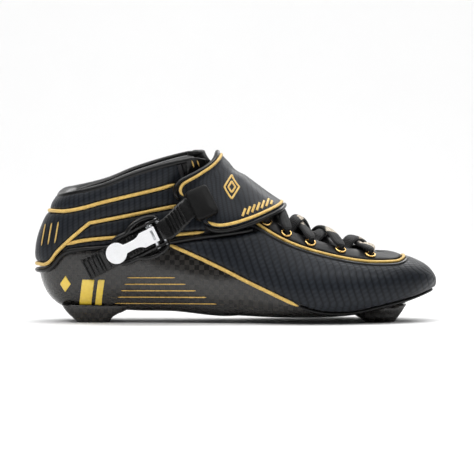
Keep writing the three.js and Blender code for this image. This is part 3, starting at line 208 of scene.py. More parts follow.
def on_side(x, z, side):
    """(s, a) of the last's points at x and z as seen from the side, lateral -1 or medial 1."""
    x, z = np.broadcast_arrays(np.asarray(x, float), np.asarray(z, float))
    back = x < PIVOT_X
    angle = np.degrees(np.arctan2(PIVOT_Z - z, PIVOT_X - x))
    ahead = np.arcsin(np.clip((x - PIVOT_X) / (TOE_X - PIVOT_X), 0, 1)) / (math.pi / 2)
    s = np.clip(np.where(back, SPLIT * (angle - 8) / 82, SPLIT + (1 - SPLIT) * ahead), 0, 1)
    want = np.where(back, -np.hypot(x - PIVOT_X, z - PIVOT_Z), z)
    lo, hi = np.zeros_like(s), np.full_like(s, math.pi)
    for _ in range(30):
        mid = (lo + hi) / 2
        p = last_point(s, mid)
        depth = np.where(back, -np.hypot(p[..., 0] - PIVOT_X, p[..., 2] - PIVOT_Z), p[..., 2])
        lo, hi = np.where(depth < want, mid, lo), np.where(depth < want, hi, mid)
    return s, side * (lo + hi) / 2


# ------------------------------------------------------------------ lines and fields, side view
def curve_points(points, count):
    """Evenly spaced points on a smooth curve (centripetal Catmull-Rom) through points."""
    p = np.asarray(points, float)
    p = np.vstack([2 * p[0] - p[1], p, 2 * p[-1] - p[-2]])
    knots = np.cumsum(np.r_[0, np.maximum(np.linalg.norm(np.diff(p, axis=0), axis=1), 1e-6) ** 0.5])
    dense = []
    for i in range(1, len(p) - 2):
        t = np.linspace(knots[i], knots[i + 1], 24, endpoint=i == len(p) - 3)[:, None]
        mix = lambda a, b, j, k: ((knots[k] - t) * a + (t - knots[j]) * b) / (knots[k] - knots[j])
        a = [mix(p[i + j - 1], p[i + j], i + j - 1, i + j) for j in range(3)]
        b = [mix(a[j], a[j + 1], i + j - 1, i + j + 1) for j in range(2)]
        dense.append(mix(b[0], b[1], i, i + 1))
    dense = np.vstack(dense)
    length = np.r_[0, np.cumsum(np.linalg.norm(np.diff(dense, axis=0), axis=1))]
    at = np.linspace(0, length[-1], count + 1)
    return np.stack([np.interp(at, length, dense[:, c]) for c in range(p.shape[1])], axis=1)


def segment_distance(x, z, line):
    best = np.full(x.shape, np.inf)
    for (ax, az), (bx, bz) in zip(line, line[1:]):
        ex, ez = bx - ax, bz - az
        u = np.clip(((x - ax) * ex + (z - az) * ez) / (ex * ex + ez * ez), 0, 1)
        best = np.minimum(best, np.hypot(x - ax - u * ex, z - az - u * ez))
    return best


def line_field(pairs):
    """Distance to a line, above it positive."""
    line = curve_points(pairs, 60)
    height = through(line)

    def f(p, a):
        x, z = p[..., 0], p[..., 2]
        gap = z - height(x)
        return np.sign(gap) * np.minimum(np.abs(gap), segment_distance(x, z, line))

    return f


def area_field(points):
    """Distance to a closed outline, inside it negative."""
    loop = [tuple(p) for p in points] + [tuple(points[0])]

    def f(p, a=None):
        x, z = p[..., 0], p[..., 2]
        within = np.zeros(x.shape, bool)
        for (ax, az), (bx, bz) in zip(loop, loop[1:]):
            crosses = (az > z) != (bz > z)
            with np.errstate(divide="ignore", invalid="ignore"):
                within ^= crosses & (x < (bx - ax) * (z - az) / (bz - az) + ax)
        return np.where(within, -1, 1) * segment_distance(x, z, loop)

    return f


collar_line = line_field(COLLAR)
collar = lambda p, a: collar_line(p, a) - COLLAR_MEDIAL_RISE * smooth(p[..., 1] / 30 + 0.5)
cuff_low = line_field(CUFF_LOW)
piping_top = line_field(PIPING_TOP)
piping_heel = line_field(PIPING_HEEL)
piping_branch = line_field(PIPING_BRANCH)
vamp_edge = line_field(VAMP_EDGE)
shell_top = line_field(SHELL_TOP)
throat = area_field([*curve_points(THROAT, 60), (211.4, 90), (150, 140), (57, 140)])
opening_half, overlap = through(OPENING), through(OVERLAP)


def opening(p, a):
    """Distance past the edge of the lace opening."""
    x, y = p[..., 0], p[..., 1]
    t = np.arcsin(np.clip((x - PIVOT_X) / (TOE_X - PIVOT_X), 0, 1)) / (math.pi / 2)
    half = opening_half(x)
    ahead = np.maximum(x - (OPENING_END - half), 0)
    return np.where(np.cos(a) > 0.2, 40, 0) + np.hypot(y - slice_at[3](t), ahead) - half


# ------------------------------------------------------------------ meshes
def mesh_object(name, points, faces, uv=None, smooth_faces=True, weld=False):
    """An object from points in millimetres, faces, and one UV for each point in millimetres."""
    mesh = bpy.data.meshes.new(name)
    mesh.from_pydata((np.asarray(points) * MM).tolist(), [], [list(map(int, f)) for f in faces])
    if uv is not None:
        layer = mesh.uv_layers.new(name="UVMap")
        index = np.empty(len(mesh.loops), int)
        mesh.loops.foreach_get("vertex_index", index)
        layer.data.foreach_set("uv", (np.asarray(uv, float)[index]).ravel())
    mesh.polygons.foreach_set("use_smooth", [smooth_faces] * len(mesh.polygons))
    mesh.update()
    obj = bpy.data.objects.new(name, mesh)
    bpy.context.scene.collection.objects.link(obj)
    return obj


def finish_piece(obj, material, body, replaced=()):
    obj.data.materials.clear()
    obj.data.materials.append(material)
    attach(obj, body)
    if replaced:
        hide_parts(*replaced)
    return obj


def last_rows(step):
    """Sections of the last about step apart along its outer side."""
    s = np.linspace(0, 1, 4001)
    side = last_point(s, -1.2)
    length = np.r_[0, np.cumsum(np.linalg.norm(np.diff(side, axis=0), axis=1))]
    count = int(length[-1] / step)
    return np.interp(np.linspace(0, length[-1], count + 1), length, s)


def weave_uv(p, n):
    """Millimetre coordinates along and across the boot, wrapped round the heel."""
    x, y, z = p[:, 0], p[:, 1], p[:, 2]
    side = np.where(y < 0, -1, 1)
    wrap = np.arctan2(np.abs(y) / 34, -x / 38)
    u = np.where(x < 0, 36 * wrap, 56.5 + x)
    under = smooth((-n[:, 2] - 0.35) / 0.4)
    over = smooth((n[:, 2] - 0.35) / 0.4)
    v = z - under * (34 - np.abs(y)) + over * (34 - np.abs(y)) * 0.8
    return np.stack([u * side, v], axis=1)


def cut_triangles(s, a, triangles, cut):
    """Keeps the triangles, or parts of them, where cut is below 0."""
    value = lambda s, a: cut(last_point(s, a), a)
    v = value(s, a)
    inside = v < 0
    count = inside[triangles].sum(axis=1)
    kept = [triangles[count == 3]]
    crossing = triangles[(count == 1) | (count == 2)]
    edges = np.sort(np.vstack([crossing[:, [0, 1]], crossing[:, [1, 2]], crossing[:, [2, 0]]]), axis=1)
    edges = np.unique(edges, axis=0)
    edges = edges[inside[edges[:, 0]] != inside[edges[:, 1]]]
    i, j = edges.T
    lo, hi = np.zeros(len(i)), np.ones(len(i))
    first = inside[i]
    turn = (a[j] - a[i] + math.pi) % (2 * math.pi) - math.pi
    for _ in range(10):
        mid = (lo + hi) / 2
        same = (value(s[i] + mid * (s[j] - s[i]), a[i] + mid * turn) < 0) == first
        lo, hi = np.where(same, mid, lo), np.where(same, hi, mid)
    u = np.clip((lo + hi) / 2, 0.02, 0.98)
    new = {tuple(e): len(s) + n for n, e in enumerate(edges.tolist())}
    s = np.r_[s, s[i] + u * (s[j] - s[i])]
    a = np.r_[a, a[i] + u * turn]
    extra = []
    for triangle in crossing.tolist():
        loop = []
        for n in range(3):
            p, q = triangle[n], triangle[(n + 1) % 3]
            if inside[p]:
                loop.append(p)
            if inside[p] != inside[q]:
                loop.append(new[(min(p, q), max(p, q))])
        extra += [(loop[0], loop[n], loop[n + 1]) for n in range(1, len(loop) - 1)]
    kept.append(np.array(extra, int).reshape(-1, 3))
    return s, a, np.vstack(kept)


def wall(name, cuts, inner, outer, step=1.6, edge=0.7, shape=None):
    """A panel of the last between two offsets, with rounded edges."""
    rows = last_rows(step)
    around = max(48, int(230 / step))
    s, k = np.meshgrid(rows, np.arange(around), indexing="ij")
    a = -math.pi + 2 * math.pi * k / around
    at = np.arange(s.size).reshape(s.shape)
    p, q = at[:-1], np.roll(at[:-1], -1, axis=1)
    r, t = at[1:], np.roll(at[1:], -1, axis=1)
    triangles = np.vstack([
        np.stack([p, q, t], -1).reshape(-1, 3), np.stack([p, t, r], -1).reshape(-1, 3),
    ])
    s, a = s.ravel(), a.ravel()
    field = lambda p, a: np.max([cut(p, a) for cut in cuts], axis=0)
    s, a, triangles = cut_triangles(s, a, triangles, field)
    used, index = np.unique(triangles, return_inverse=True)
    triangles = index.reshape(-1, 3)
    s, a = s[used], a[used]
    base, normal = last_point(s, a), last_normal(s, a)
    depth = np.clip(-field(base, a) / max(edge, 1e-6), 0, 1)
    drop = edge * (1 - np.sqrt(1 - (1 - depth) ** 2))
    value = lambda f: f(s, a) if callable(f) else np.full(s.shape, float(f))
    top = base + normal * (value(outer) - drop)[:, None]
    low = base + normal * value(inner)[:, None]
    if shape:
        top = shape(top, normal)
    n = len(s)
    sides = np.vstack([triangles[:, [0, 1]], triangles[:, [1, 2]], triangles[:, [2, 0]]])
    key = sides[:, 0] * (n + 1) + sides[:, 1]
    rim = sides[~np.isin(key, sides[:, 1] * (n + 1) + sides[:, 0])]
    faces = [*triangles.tolist(), *(triangles[:, ::-1] + n).tolist()]
    faces += [[j, i, i + n, j + n] for i, j in rim.tolist()]
    uv = weave_uv(base, normal)
    return mesh_object(name, np.vstack([top, low]), faces, np.vstack([uv, uv]))


def sweep(name, points, side, width, height, sides=10, power=1.0, closed=False):
    """A tube of an oval section along points. side is the direction of its width at each."""
    points, side = np.asarray(points, float), np.asarray(side, float)
    n = len(points)
    if closed:
        tangent = np.roll(points, -1, 0) - np.roll(points, 1, 0)
    else:
        tangent = np.gradient(points, axis=0)
    up = unit(np.cross(side, tangent))
    side = unit(np.cross(tangent, up))
    angle = 2 * math.pi * (np.arange(sides) + 0.5) / sides
    squash = lambda v: np.sign(v) * np.abs(v) ** power
    w = np.broadcast_to(width, (n,))[:, None, None] / 2
    h = np.broadcast_to(height, (n,))[:, None, None] / 2
    ring = points[:, None] + side[:, None] * w * squash(np.cos(angle))[None, :, None]
    ring = ring + up[:, None] * h * squash(np.sin(angle))[None, :, None]
    at = np.arange(n * sides).reshape(n, sides)
    nxt = np.roll(at, -1, axis=1)
    rows = at if closed else at[:-1]
    rows_next = np.roll(at, -1, axis=0) if closed else at[1:]
    nxt_rows = nxt if closed else nxt[:-1]
    nxt_next = np.roll(nxt, -1, axis=0) if closed else nxt[1:]
    faces = np.stack([rows, rows_next, nxt_next, nxt_rows], -1).reshape(-1, 4).tolist()
    if not closed:
        faces += [at[0].tolist(), at[-1][::-1].tolist()]
    length = np.r_[0, np.cumsum(np.linalg.norm(np.diff(points, axis=0), axis=1))]
    uv = np.stack(np.broadcast_arrays(length[:, None], np.arange(sides)[None] / sides), -1)
    return mesh_object(name, ring.reshape(-1, 3), faces, uv.reshape(-1, 2))


def side_places(line, side, x0=-99, x1=999, count=260):
    line = curve_points(line, count)
    line = line[(line[:, 0] >= x0) & (line[:, 0] <= x1)]
    return on_side(line[:, 0], line[:, 1], side)


def join_places(*places):
    return np.concatenate([p[0] for p in places]), np.concatenate([p[1] for p in places])


def back(places):
    return places[0][::-1], places[1][::-1]


def mirrored(places):
    return places[0], -places[1]


def surface_path(places, offset, step):
    """Even points along places on the last, with the surface's normals."""
    raw = offset_point(*places, offset)
    keep = np.r_[True, np.linalg.norm(np.diff(raw, axis=0), axis=1) > 0.05]
    raw, normal = raw[keep], last_normal(*places)[keep]
    both = curve_points(np.hstack([raw, normal * 4]), max(8, int(path_length(raw) / step)))
    return both[:, :3], unit(both[:, 3:])


def path_length(points):
    return float(np.linalg.norm(np.diff(points, axis=0), axis=1).sum())


def tips(count, step, length):
    """Widths that taper to a point over length at both ends."""
    at = np.minimum(np.arange(count), np.arange(count)[::-1]) * step
    return np.sqrt(np.clip(at / length, 0.02, 1))


def cord(name, places, offset, width, height, step=0.8, taper=5.0, ends=(1, 1)):
    points, normal = surface_path(places, offset, step)
    along = path_length(points) / (len(points) - 1) * np.arange(len(points))
    size = np.ones(len(points))
    if ends[0]:
        size = np.minimum(size, np.sqrt(np.clip(along / taper, 0.02, 1)))
    if ends[1]:
        size = np.minimum(size, np.sqrt(np.clip((along[-1] - along) / taper, 0.02, 1)))
    side = np.cross(np.gradient(points, axis=0), normal)
    return sweep(name, points, side, width * size, height * (0.4 + 0.6 * size))


def round_heel(line, x0, x1):
    """Places under a line on both sides, joined round the heel at its height there."""
    lateral, medial = (side_places(line, side, x0, x1) for side in (-1, 1))
    height = last_point(lateral[0][:1], lateral[1][:1])[0, 2]
    angles = np.linspace(lateral[1][0], medial[1][0], 24)[1:-1]
    heel = level_places(lambda p, a: p[..., 2] - height, angles, SPLIT)
    return join_places(back(lateral), heel, medial)


def round_toe(line, x0):
    s, a = side_places(line, -1, x0)
    keep = (s < 0.99) & (np.abs(a) > 0.06)
    lateral = s[keep], a[keep]
    return join_places(lateral, back(mirrored(lateral)))


def level_places(field, angles, lowest):
    lo, hi = np.zeros_like(angles), np.full_like(angles, lowest)
    for _ in range(24):
        mid = (lo + hi) / 2
        above = field(last_point(mid, angles), angles) > 0
        lo, hi = np.where(above, mid, lo), np.where(above, hi, mid)
    return (lo + hi) / 2, angles


def solid_from_grid(name, rings, uv=None, caps=True):
    """A closed solid from rings of points, (rings, points, 3), in order along it."""
    rings = np.asarray(rings, float)
    n, m = rings.shape[:2]
    at = np.arange(n * m).reshape(n, m)
    nxt = np.roll(at, -1, axis=1)
    faces = np.stack([at[:-1], nxt[:-1], nxt[1:], at[1:]], -1).reshape(-1, 4).tolist()
    if caps:
        faces += [at[0][::-1].tolist(), at[-1].tolist()]
    return mesh_object(name, rings.reshape(-1, 3), faces, uv)


def turned(name, profile, place, sides=40, closed=True):
    """A turned solid of (radius, height) points at a frame (origin, x, y, z)."""
    origin, x, y, z = place
    angle = 2 * math.pi * np.arange(sides) / sides
    around = np.cos(angle)[:, None] * x + np.sin(angle)[:, None] * y
    rings = [origin + r * around + h * z for r, h in profile]
    obj = solid_from_grid(name, rings + rings[:1] if closed else rings, caps=not closed)
    clean(obj)
    return obj


def clean(obj, distance=1e-7):
    """Merges points that meet and turns every face outwards."""
    bm = bmesh.new()
    bm.from_mesh(obj.data)
    bmesh.ops.remove_doubles(bm, verts=bm.verts, dist=distance)
    bmesh.ops.recalc_face_normals(bm, faces=bm.faces)
    bm.to_mesh(obj.data)
    bm.free()


def frame_at(place, offset, direction=(1, 0, 0)):
    """Origin and axes on the last: z along its normal and x along direction, laid flat."""
    s, a = np.asarray([place[0]], float), np.asarray([place[1]], float)
    z = last_normal(s, a)[0]
    x = np.asarray(direction, float)
    x = unit(x - x.dot(z) * z)
    return offset_point(s, a, offset)[0], x, np.cross(z, x), z


# ------------------------------------------------------------------ materials
class Finish:
    """A Principled material built from nodes. Sockets that are the same all over are set on it."""

    def __init__(self, name, **sockets):
        self.material = bpy.data.materials.new(name)
        self.material.use_nodes = True
        self.tree = self.material.node_tree
        self.shader = self.tree.nodes["Principled BSDF"]
        for socket, value in sockets.items():
            self.shader.inputs[socket.replace("_", " ").title().replace("Ior", "IOR")].default_value = value
        where = self.tree.nodes.new("ShaderNodeTexCoord")
        self.uv, self.object = where.outputs["UV"], where.outputs["Object"]

    def math(self, operation, *values):
        node = self.tree.nodes.new("ShaderNodeMath")
        node.operation = operation
        for socket, value in zip(node.inputs, values):
            self.put(socket, value)
        return node.outputs[0]

    def put(self, socket, value):
        if isinstance(value, bpy.types.NodeSocket):
            self.tree.links.new(value, socket)
        else:
            socket.default_value = value

    def split(self, vector):
        node = self.tree.nodes.new("ShaderNodeSeparateXYZ")
        self.put(node.inputs[0], vector)
        return node.outputs

    def noise(self, scale, detail=3, vector=None):
        node = self.tree.nodes.new("ShaderNodeTexNoise")
        self.put(node.inputs["Vector"], vector or self.object)
        node.inputs["Scale"].default_value = scale
        node.inputs["Detail"].default_value = detail
        return node.outputs[0]

    def cells(self, scale):
        node = self.tree.nodes.new("ShaderNodeTexVoronoi")
        self.put(node.inputs["Vector"], self.object)
        node.inputs["Scale"].default_value = scale
        return node.outputs["Distance"]

    def wave(self, value):
        """0 to 1 and back once for each whole number."""
        turn = self.math("MULTIPLY", value, 2 * math.pi)
        return self.math("MULTIPLY_ADD", self.math("SINE", turn), 0.5, 0.5)

    def ramp(self, value, low, high):
        """Low to high as value goes from 0 to 1, for numbers."""
        node = self.tree.nodes.new("ShaderNodeMapRange")
        self.put(node.inputs["Value"], value)
        node.inputs["To Min"].default_value = low
        node.inputs["To Max"].default_value = high
        return node.outputs[0]

    def mix(self, value, low, high):
        """Low to high as value goes from 0 to 1, for colours."""
        node = self.tree.nodes.new("ShaderNodeValToRGB")
        self.put(node.inputs[0], value)
        node.color_ramp.elements[0].color = (*low, 1)
        node.color_ramp.elements[1].color = (*high, 1)
        return node.outputs[0]

    def bump(self, height, depth, strength=1.0, under=None):
        """Height from 0 to 1 as bumps of depth in metres."""
        node = self.tree.nodes.new("ShaderNodeBump")
        node.inputs["Strength"].default_value = strength
        node.inputs["Distance"].default_value = depth
        self.put(node.inputs["Height"], height)
        if under:
            self.put(node.inputs["Normal"], under)
        return node.outputs[0]

    def set(self, **sockets):
        for socket, value in sockets.items():
            self.put(self.shader.inputs[socket.replace("_", " ").title().replace("Ior", "IOR")], value)
        return self.material


def carbon_shell_finish():
    """Plain woven carbon under a clear coat."""
    f = Finish("woven_carbon_coated", coat_weight=0.55, coat_roughness=0.06, specular_ior_level=0.25)
    u, v, _ = f.split(f.uv)
    pitch = 3.3
    column, row = f.math("DIVIDE", u, pitch), f.math("DIVIDE", v, pitch)
    over = f.math("PINGPONG", f.math("ADD", f.math("FLOOR", column), f.math("FLOOR", row)), 1)
    along_u = f.math("FRACT", f.math("DIVIDE", u, 0.55))
    along_v = f.math("FRACT", f.math("DIVIDE", v, 0.55))
    thread = f.math("ADD", f.math("MULTIPLY", over, along_u),
                    f.math("MULTIPLY", f.math("SUBTRACT", 1, over), along_v))
    shade = f.math("ADD", f.math("MULTIPLY", over, 0.55), f.math("MULTIPLY", thread, 0.3))
    patchy = f.math("MULTIPLY", shade, f.ramp(f.noise(25), 0.5, 1.4))
    crown = f.math("ADD", f.wave(f.math("MULTIPLY", column, 0.5)),
                   f.wave(f.math("MULTIPLY", row, 0.5)))
    return f.set(
        base_color=f.mix(patchy, (0.0015, 0.0013, 0.0011), (0.03, 0.0265, 0.023)),
        roughness=f.ramp(over, 0.26, 0.4),
        normal=f.bump(crown, 0.00008, 0.35),
    )


def carbon_upper_finish(name, pitch, slant=0.0, relief=0.00022):
    """Embossed columns of slanted threads on a satin synthetic, with painted highlights: the colour is
    lighter on the crowns of the columns and stripes.
    """
    f = Finish(name, coat_weight=0.03, coat_roughness=0.3, specular_ior_level=0.14)
    u, v, _ = f.split(f.uv)
    drift = f.math("MULTIPLY", f.math("SUBTRACT", f.noise(30, 2), 0.5), 1.2)
    leaned = f.math("ADD", f.math("ADD", u, drift), f.math("MULTIPLY", v, slant))
    across = f.math("FRACT", f.math("DIVIDE", leaned, pitch))
    step = f.math("ADD", f.math("DIVIDE", v, pitch * 0.55), f.math("MULTIPLY", across, 0.8))
    stripe = f.wave(step)
    crown = f.math("MULTIPLY", f.math("MULTIPLY", across, 4), f.math("SUBTRACT", 1, across))
    column = f.math("POWER", f.math("MAXIMUM", crown, 0.001), 0.6)
    height = f.math("ADD", f.math("MULTIPLY", column, 0.7),
                    f.math("MULTIPLY", f.math("MULTIPLY", stripe, column), 0.3))
    fibre = f.wave(f.math("ADD", f.math("DIVIDE", v, 0.5), f.math("MULTIPLY", across, 5)))
    # painted highlight: the base colour is lighter where the embossed columns and stripes rise, with fibre
    # lines and random tone on top
    shade = f.math("MULTIPLY", f.math("MULTIPLY_ADD", fibre, 0.15, height), f.ramp(f.noise(26), 0.5, 1.2))
    return f.set(
        base_color=f.mix(shade, (0.0008, 0.001, 0.0014), (0.021, 0.0245, 0.031)),
        roughness=f.ramp(stripe, 0.46, 0.32),
        normal=f.bump(f.noise(2600, 2), 0.00004, 0.3, f.bump(height, relief, 0.8)),
    )


def trim_finish(name="black_trim_leather", colour=0.003, roughness=0.26, coat=0.22):
    """Glossy black leather: fine grain with a few creases."""
    f = Finish(name, coat_weight=coat, coat_roughness=0.16, specular_ior_level=0.18)
    grain = f.math("ADD", f.cells(1900), f.math("MULTIPLY", f.noise(420, 4), 0.8))
    tone = f.noise(70, 4)
    return f.set(
        base_color=f.mix(tone, (colour * 0.7,) * 3, (colour * 1.5, colour * 1.5, colour * 1.7)),
        roughness=f.ramp(tone, roughness, roughness + 0.14),
        normal=f.bump(grain, 0.00009, 0.45),
    )


def cloth_finish(name, low, high, scale=0.9):
    """Knitted mesh lining: rows of loops."""
    f = Finish(name, sheen_weight=0.35, sheen_roughness=0.5)
    u, v, _ = f.split(f.uv)
    loops = f.math("MULTIPLY", f.wave(f.math("DIVIDE", u, scale)),
                   f.wave(f.math("ADD", f.math("DIVIDE", v, scale), 0.3)))
    fuzz = f.noise(1500, 4)
    return f.set(
        base_color=f.mix(f.math("ADD", f.math("MULTIPLY", loops, 0.7), f.math("MULTIPLY", fuzz, 0.3)),
                         low, high),
        roughness=f.ramp(fuzz, 0.75, 0.95),
        normal=f.bump(fuzz, 0.0001, 0.4, f.bump(loops, 0.0003, 0.7)),
    )


def foam_finish():
    """Open-cell foam."""
    f = Finish("foam_padding", sheen_weight=0.2)
    cell, tone = f.cells(1400), f.noise(90, 4)
    return f.set(
        base_color=f.mix(tone, (0.035, 0.035, 0.038), (0.07, 0.07, 0.075)),
        roughness=f.ramp(tone, 0.85, 0.98),
        normal=f.bump(cell, 0.0003, 0.7),
    )


def gold_cord_finish():
    """Satin gold thread laid slantwise over a cord."""
    f = Finish("gold_thread", metallic=0.15, sheen_weight=0.2, sheen_roughness=0.4)
    u, v, _ = f.split(f.uv)
    twist = f.math("ADD", f.math("DIVIDE", u, 0.62), f.math("MULTIPLY", v, 3))
    thread = f.wave(twist)
    tone = f.math("ADD", f.math("MULTIPLY", thread, 0.35), f.math("MULTIPLY", f.noise(520, 3), 0.75))
    return f.set(
        base_color=f.mix(tone, (0.34, 0.15, 0.02), (1.0, 0.72, 0.2)),
        roughness=f.ramp(thread, 0.5, 0.34),
        normal=f.bump(thread, 0.0002, 0.6),
    )


def gold_metal_finish():
    """Brushed gold-coloured metal with rubbed patches."""
    f = Finish("gold_metal", metallic=1.0)
    rub = f.noise(700, 4)
    return f.set(
        base_color=f.mix(rub, (0.5, 0.27, 0.07), (0.92, 0.66, 0.26)),
        roughness=f.ramp(rub, 0.34, 0.16),
        normal=f.bump(f.noise(3500, 2), 0.00002, 0.4),
    )


def gold_print_finish():
    """Printed gold ink, slightly uneven."""
    f = Finish("gold_print", metallic=0.4, coat_weight=0.4, coat_roughness=0.2)
    tone = f.noise(500, 3)
    return f.set(
        base_color=f.mix(tone, (0.5, 0.29, 0.06), (0.85, 0.56, 0.15)),
        roughness=f.ramp(tone, 0.32, 0.46),
        normal=f.bump(tone, 0.00002, 0.3),
    )


def yellow_print_finish():
    """Bright yellow ink over the weave."""
    f = Finish("yellow_print", coat_weight=0.8, coat_roughness=0.1)
    tone = f.noise(400, 3)
    return f.set(
        base_color=f.mix(tone, (0.72, 0.47, 0.03), (0.9, 0.66, 0.07)),
        roughness=f.ramp(tone, 0.28, 0.42),
        normal=f.bump(tone, 0.00002, 0.3),
    )


def lace_finish(name="waxed_lace", low=(0.0015, 0.0015, 0.0015), high=(0.014, 0.014, 0.015)):
    """A flat braid: two slants of stitches meeting in the middle."""
    f = Finish(name, sheen_weight=0.03, sheen_roughness=0.35, specular_ior_level=0.16)
    u, v, _ = f.split(f.uv)
    fold = f.math("PINGPONG", f.math("MULTIPLY", v, 4), 1)
    stitch = f.wave(f.math("ADD", f.math("DIVIDE", u, 1.25), fold))
    rib = f.wave(f.math("MULTIPLY", v, 12))
    height = f.math("MULTIPLY_ADD", rib, 0.3, f.math("MULTIPLY", stitch, 0.7))
    return f.set(
        base_color=f.mix(f.math("MULTIPLY", height, f.ramp(f.noise(300), 0.6, 1.2)), low, high),
        roughness=f.ramp(stitch, 0.75, 0.5),
        normal=f.bump(height, 0.0003, 0.8),
    )


def plastic_finish(name="moulded_nylon", shade=0.004, roughness=0.2, coat=0.35):
    """Moulded black nylon: a faint texture, with edges rubbed lighter."""
    f = Finish(name, coat_weight=coat, coat_roughness=0.12, specular_ior_level=0.12)
    edges = f.tree.nodes.new("ShaderNodeNewGeometry").outputs["Pointiness"]
    worn = f.math("MULTIPLY", f.ramp(edges, -3, 4), f.noise(600, 4))
    tone = f.noise(120, 4)
    return f.set(
        base_color=f.mix(worn, (shade, shade, shade * 1.05), (shade * 4,) * 3),
        roughness=f.ramp(tone, roughness, roughness + 0.16),
        normal=f.bump(f.noise(2200, 3), 0.00004, 0.5),
    )


def metal_finish(name, colour, roughness, metallic=1.0, grain=3000):
    """Metal with fine scratches and a slightly uneven polish."""
    f = Finish(name, metallic=metallic)
    x, y, z = f.split(f.object)
    scratch = f.tree.nodes.new("ShaderNodeCombineXYZ")
    for socket, value in zip(scratch.inputs, (x, f.math("MULTIPLY", y, 12), z)):
        f.put(socket, value)
    lines, tone = f.noise(grain, 3, scratch.outputs[0]), f.noise(150, 4)
    dark = tuple(c * 0.85 for c in colour)
    return f.set(
        base_color=f.mix(tone, dark, colour),
        roughness=f.ramp(lines, roughness, roughness + 0.14),
        normal=f.bump(lines, 0.00001, 0.5),
    )


CARBON = carbon_shell_finish()
CUFF = carbon_upper_finish("embossed_upper_fine", 3.7, 0.0, 0.00016)
VAMP = carbon_upper_finish("embossed_upper_wide", 4.7, -0.36, 0.0003)
STRAP_CLOTH = carbon_upper_finish("embossed_strap", 3.0, -0.2, 0.00012)
TRIM = trim_finish()
TRIM_DULL = trim_finish("black_trim_dull", 0.0035, 0.4, 0.03)
LINING = cloth_finish("lining_mesh", (0.004, 0.004, 0.005), (0.026, 0.026, 0.03))
FOAM = foam_finish()
GOLD = gold_cord_finish()
GOLD_METAL = gold_metal_finish()
GOLD_PRINT = gold_print_finish()
YELLOW_PRINT = yellow_print_finish()
LACE = lace_finish()
LACE_FLECK = lace_finish("lace_fleck", (0.2, 0.14, 0.07), (0.85, 0.8, 0.7))
PLASTIC = plastic_finish()
PLASTIC_SATIN = plastic_finish("moulded_nylon_satin", 0.003, 0.4, 0.02)
SILVER = metal_finish("polished_alloy", (0.98, 0.985, 1.0), 0.22, 0.12)
STEEL = metal_finish("brushed_steel", (0.55, 0.56, 0.58), 0.24)
PLATE_METAL = metal_finish("milled_alloy_plate", (0.6, 0.61, 0.63), 0.3)


# ------------------------------------------------------------------ shell and lining
def loft_rings(levels, middle, corner=8):
    rings = []
    for z, x0, x1, half, r in levels:
        quarters = [(x1 - r, half - r), (x0 + r, half - r), (x0 + r, r - half), (x1 - r, r - half)]
        ring = []
        for quarter, (x, y) in enumerate(quarters):
            for a in (quarter + np.arange(corner + 1) / corner) * math.pi / 2:
                ring.append((x + r * math.cos(a), middle + y + r * math.sin(a), z))
        rings.append(ring)
    return np.array(rings)


HEEL_BLOCK = [
    (0.3, -11.3, 10.8, 19, 3), (2.5, -13.2, 11.9, 20.2, 4), (5, -16, 15.2, 21.2, 5),
    (7.5, -18.6, 21, 22, 7), (10, -20.5, 25.5, 22.4, 8), (12, -21.5, 29, 22.4, 8),
]
TOE_BLOCK = [
    (0.3, 184.4, 204.8, 19, 3), (2.5, 181.6, 206.2, 20.2, 4), (5.5, 176.5, 208.6, 20.6, 5),
    (9, 171, 211, 21.5, 7), (12, 168, 213, 21, 8),
]


def smooth_levels(levels, count=15):
    """The block's levels with more between them, and a rounded lower edge."""
    z = np.linspace(levels[0][0], levels[-1][0], count)
    sides = [through([(row[0], row[c]) for row in levels])(z) for c in range(1, 5)]
    rows = [list(row) for row in zip(z, *sides)]
    first = rows[0]
    lip = [[first[0], first[1] + 0.5, first[2] - 0.5, first[3] - 0.5, first[4] - 0.4],
           [first[0] + 0.15, first[1] + 0.15, first[2] - 0.15, first[3] - 0.15, first[4]]]
    return [*lip, [first[0] + 0.5, *first[1:]], *[row for row in rows[1:] if row[0] > 1]]


def block(name, levels, middle, plate_x):
    rings = loft_rings(smooth_levels(levels), middle)
    obj = solid_from_grid(name, rings, weave_uv(rings.reshape(-1, 3), np.zeros((rings.size // 3, 3))))
    clean(obj)
    pocket = box("pocket_cutter", (16.6, 30.6, 8.6), (plate_x, middle, 0))
    cut(obj, pocket)
    return finish_piece(obj, CARBON, "boot")


def box(name, size, centre):
    bm = bmesh.new()
    bmesh.ops.create_cube(bm, size=1)
    mesh = bpy.data.meshes.new(name)
    bm.to_mesh(mesh)
    bm.free()
    obj = bpy.data.objects.new(name, mesh)
    mesh.transform(Matrix.Translation(Vector(centre) * MM) @ Matrix.Diagonal((*(MM * v for v in size), 1)))
    bpy.context.scene.collection.objects.link(obj)
    return obj


def cut(obj, tool):
    apply_modifier(obj, "BOOLEAN", operation="DIFFERENCE", object=tool, solver="EXACT")
    bpy.data.objects.remove(tool)


def apply_modifier(obj, kind, **settings):
    modifier = obj.modifiers.new(kind, kind)
    for key, value in settings.items():
        setattr(modifier, key, value)
    bpy.context.view_layer.update()
    made = bpy.data.meshes.new_from_object(obj.evaluated_get(bpy.context.evaluated_depsgraph_get()))
    obj.modifiers.clear()
    old, obj.data = obj.data, made
    bpy.data.meshes.remove(old)


def shell_outer(s, a):
    p = last_point(s, a)
    covered = np.maximum(np.minimum(cuff_low(p, a), 60 - p[..., 0]), vamp_edge(p, a))
    return -0.7 * smooth((covered - 1) / 2)


finish_piece(wall("shell_skin", [shell_top], -SHELL_WALL, shell_outer, 1.5, 0.3),
             CARBON, "boot", ["carbon_shell"])
block("heel_block", HEEL_BLOCK, 0, 0)
block("toe_block", TOE_BLOCK, 3, 195)

under_roll = lambda p, a: collar(p, a) + COLLAR_ROLL[1] - 2.4
outside_tongue = lambda p, a: overlap(p[..., 0]) + 0.6 - opening(p, a)
inset = lambda cut, d: lambda p, a: cut(p, a) + d

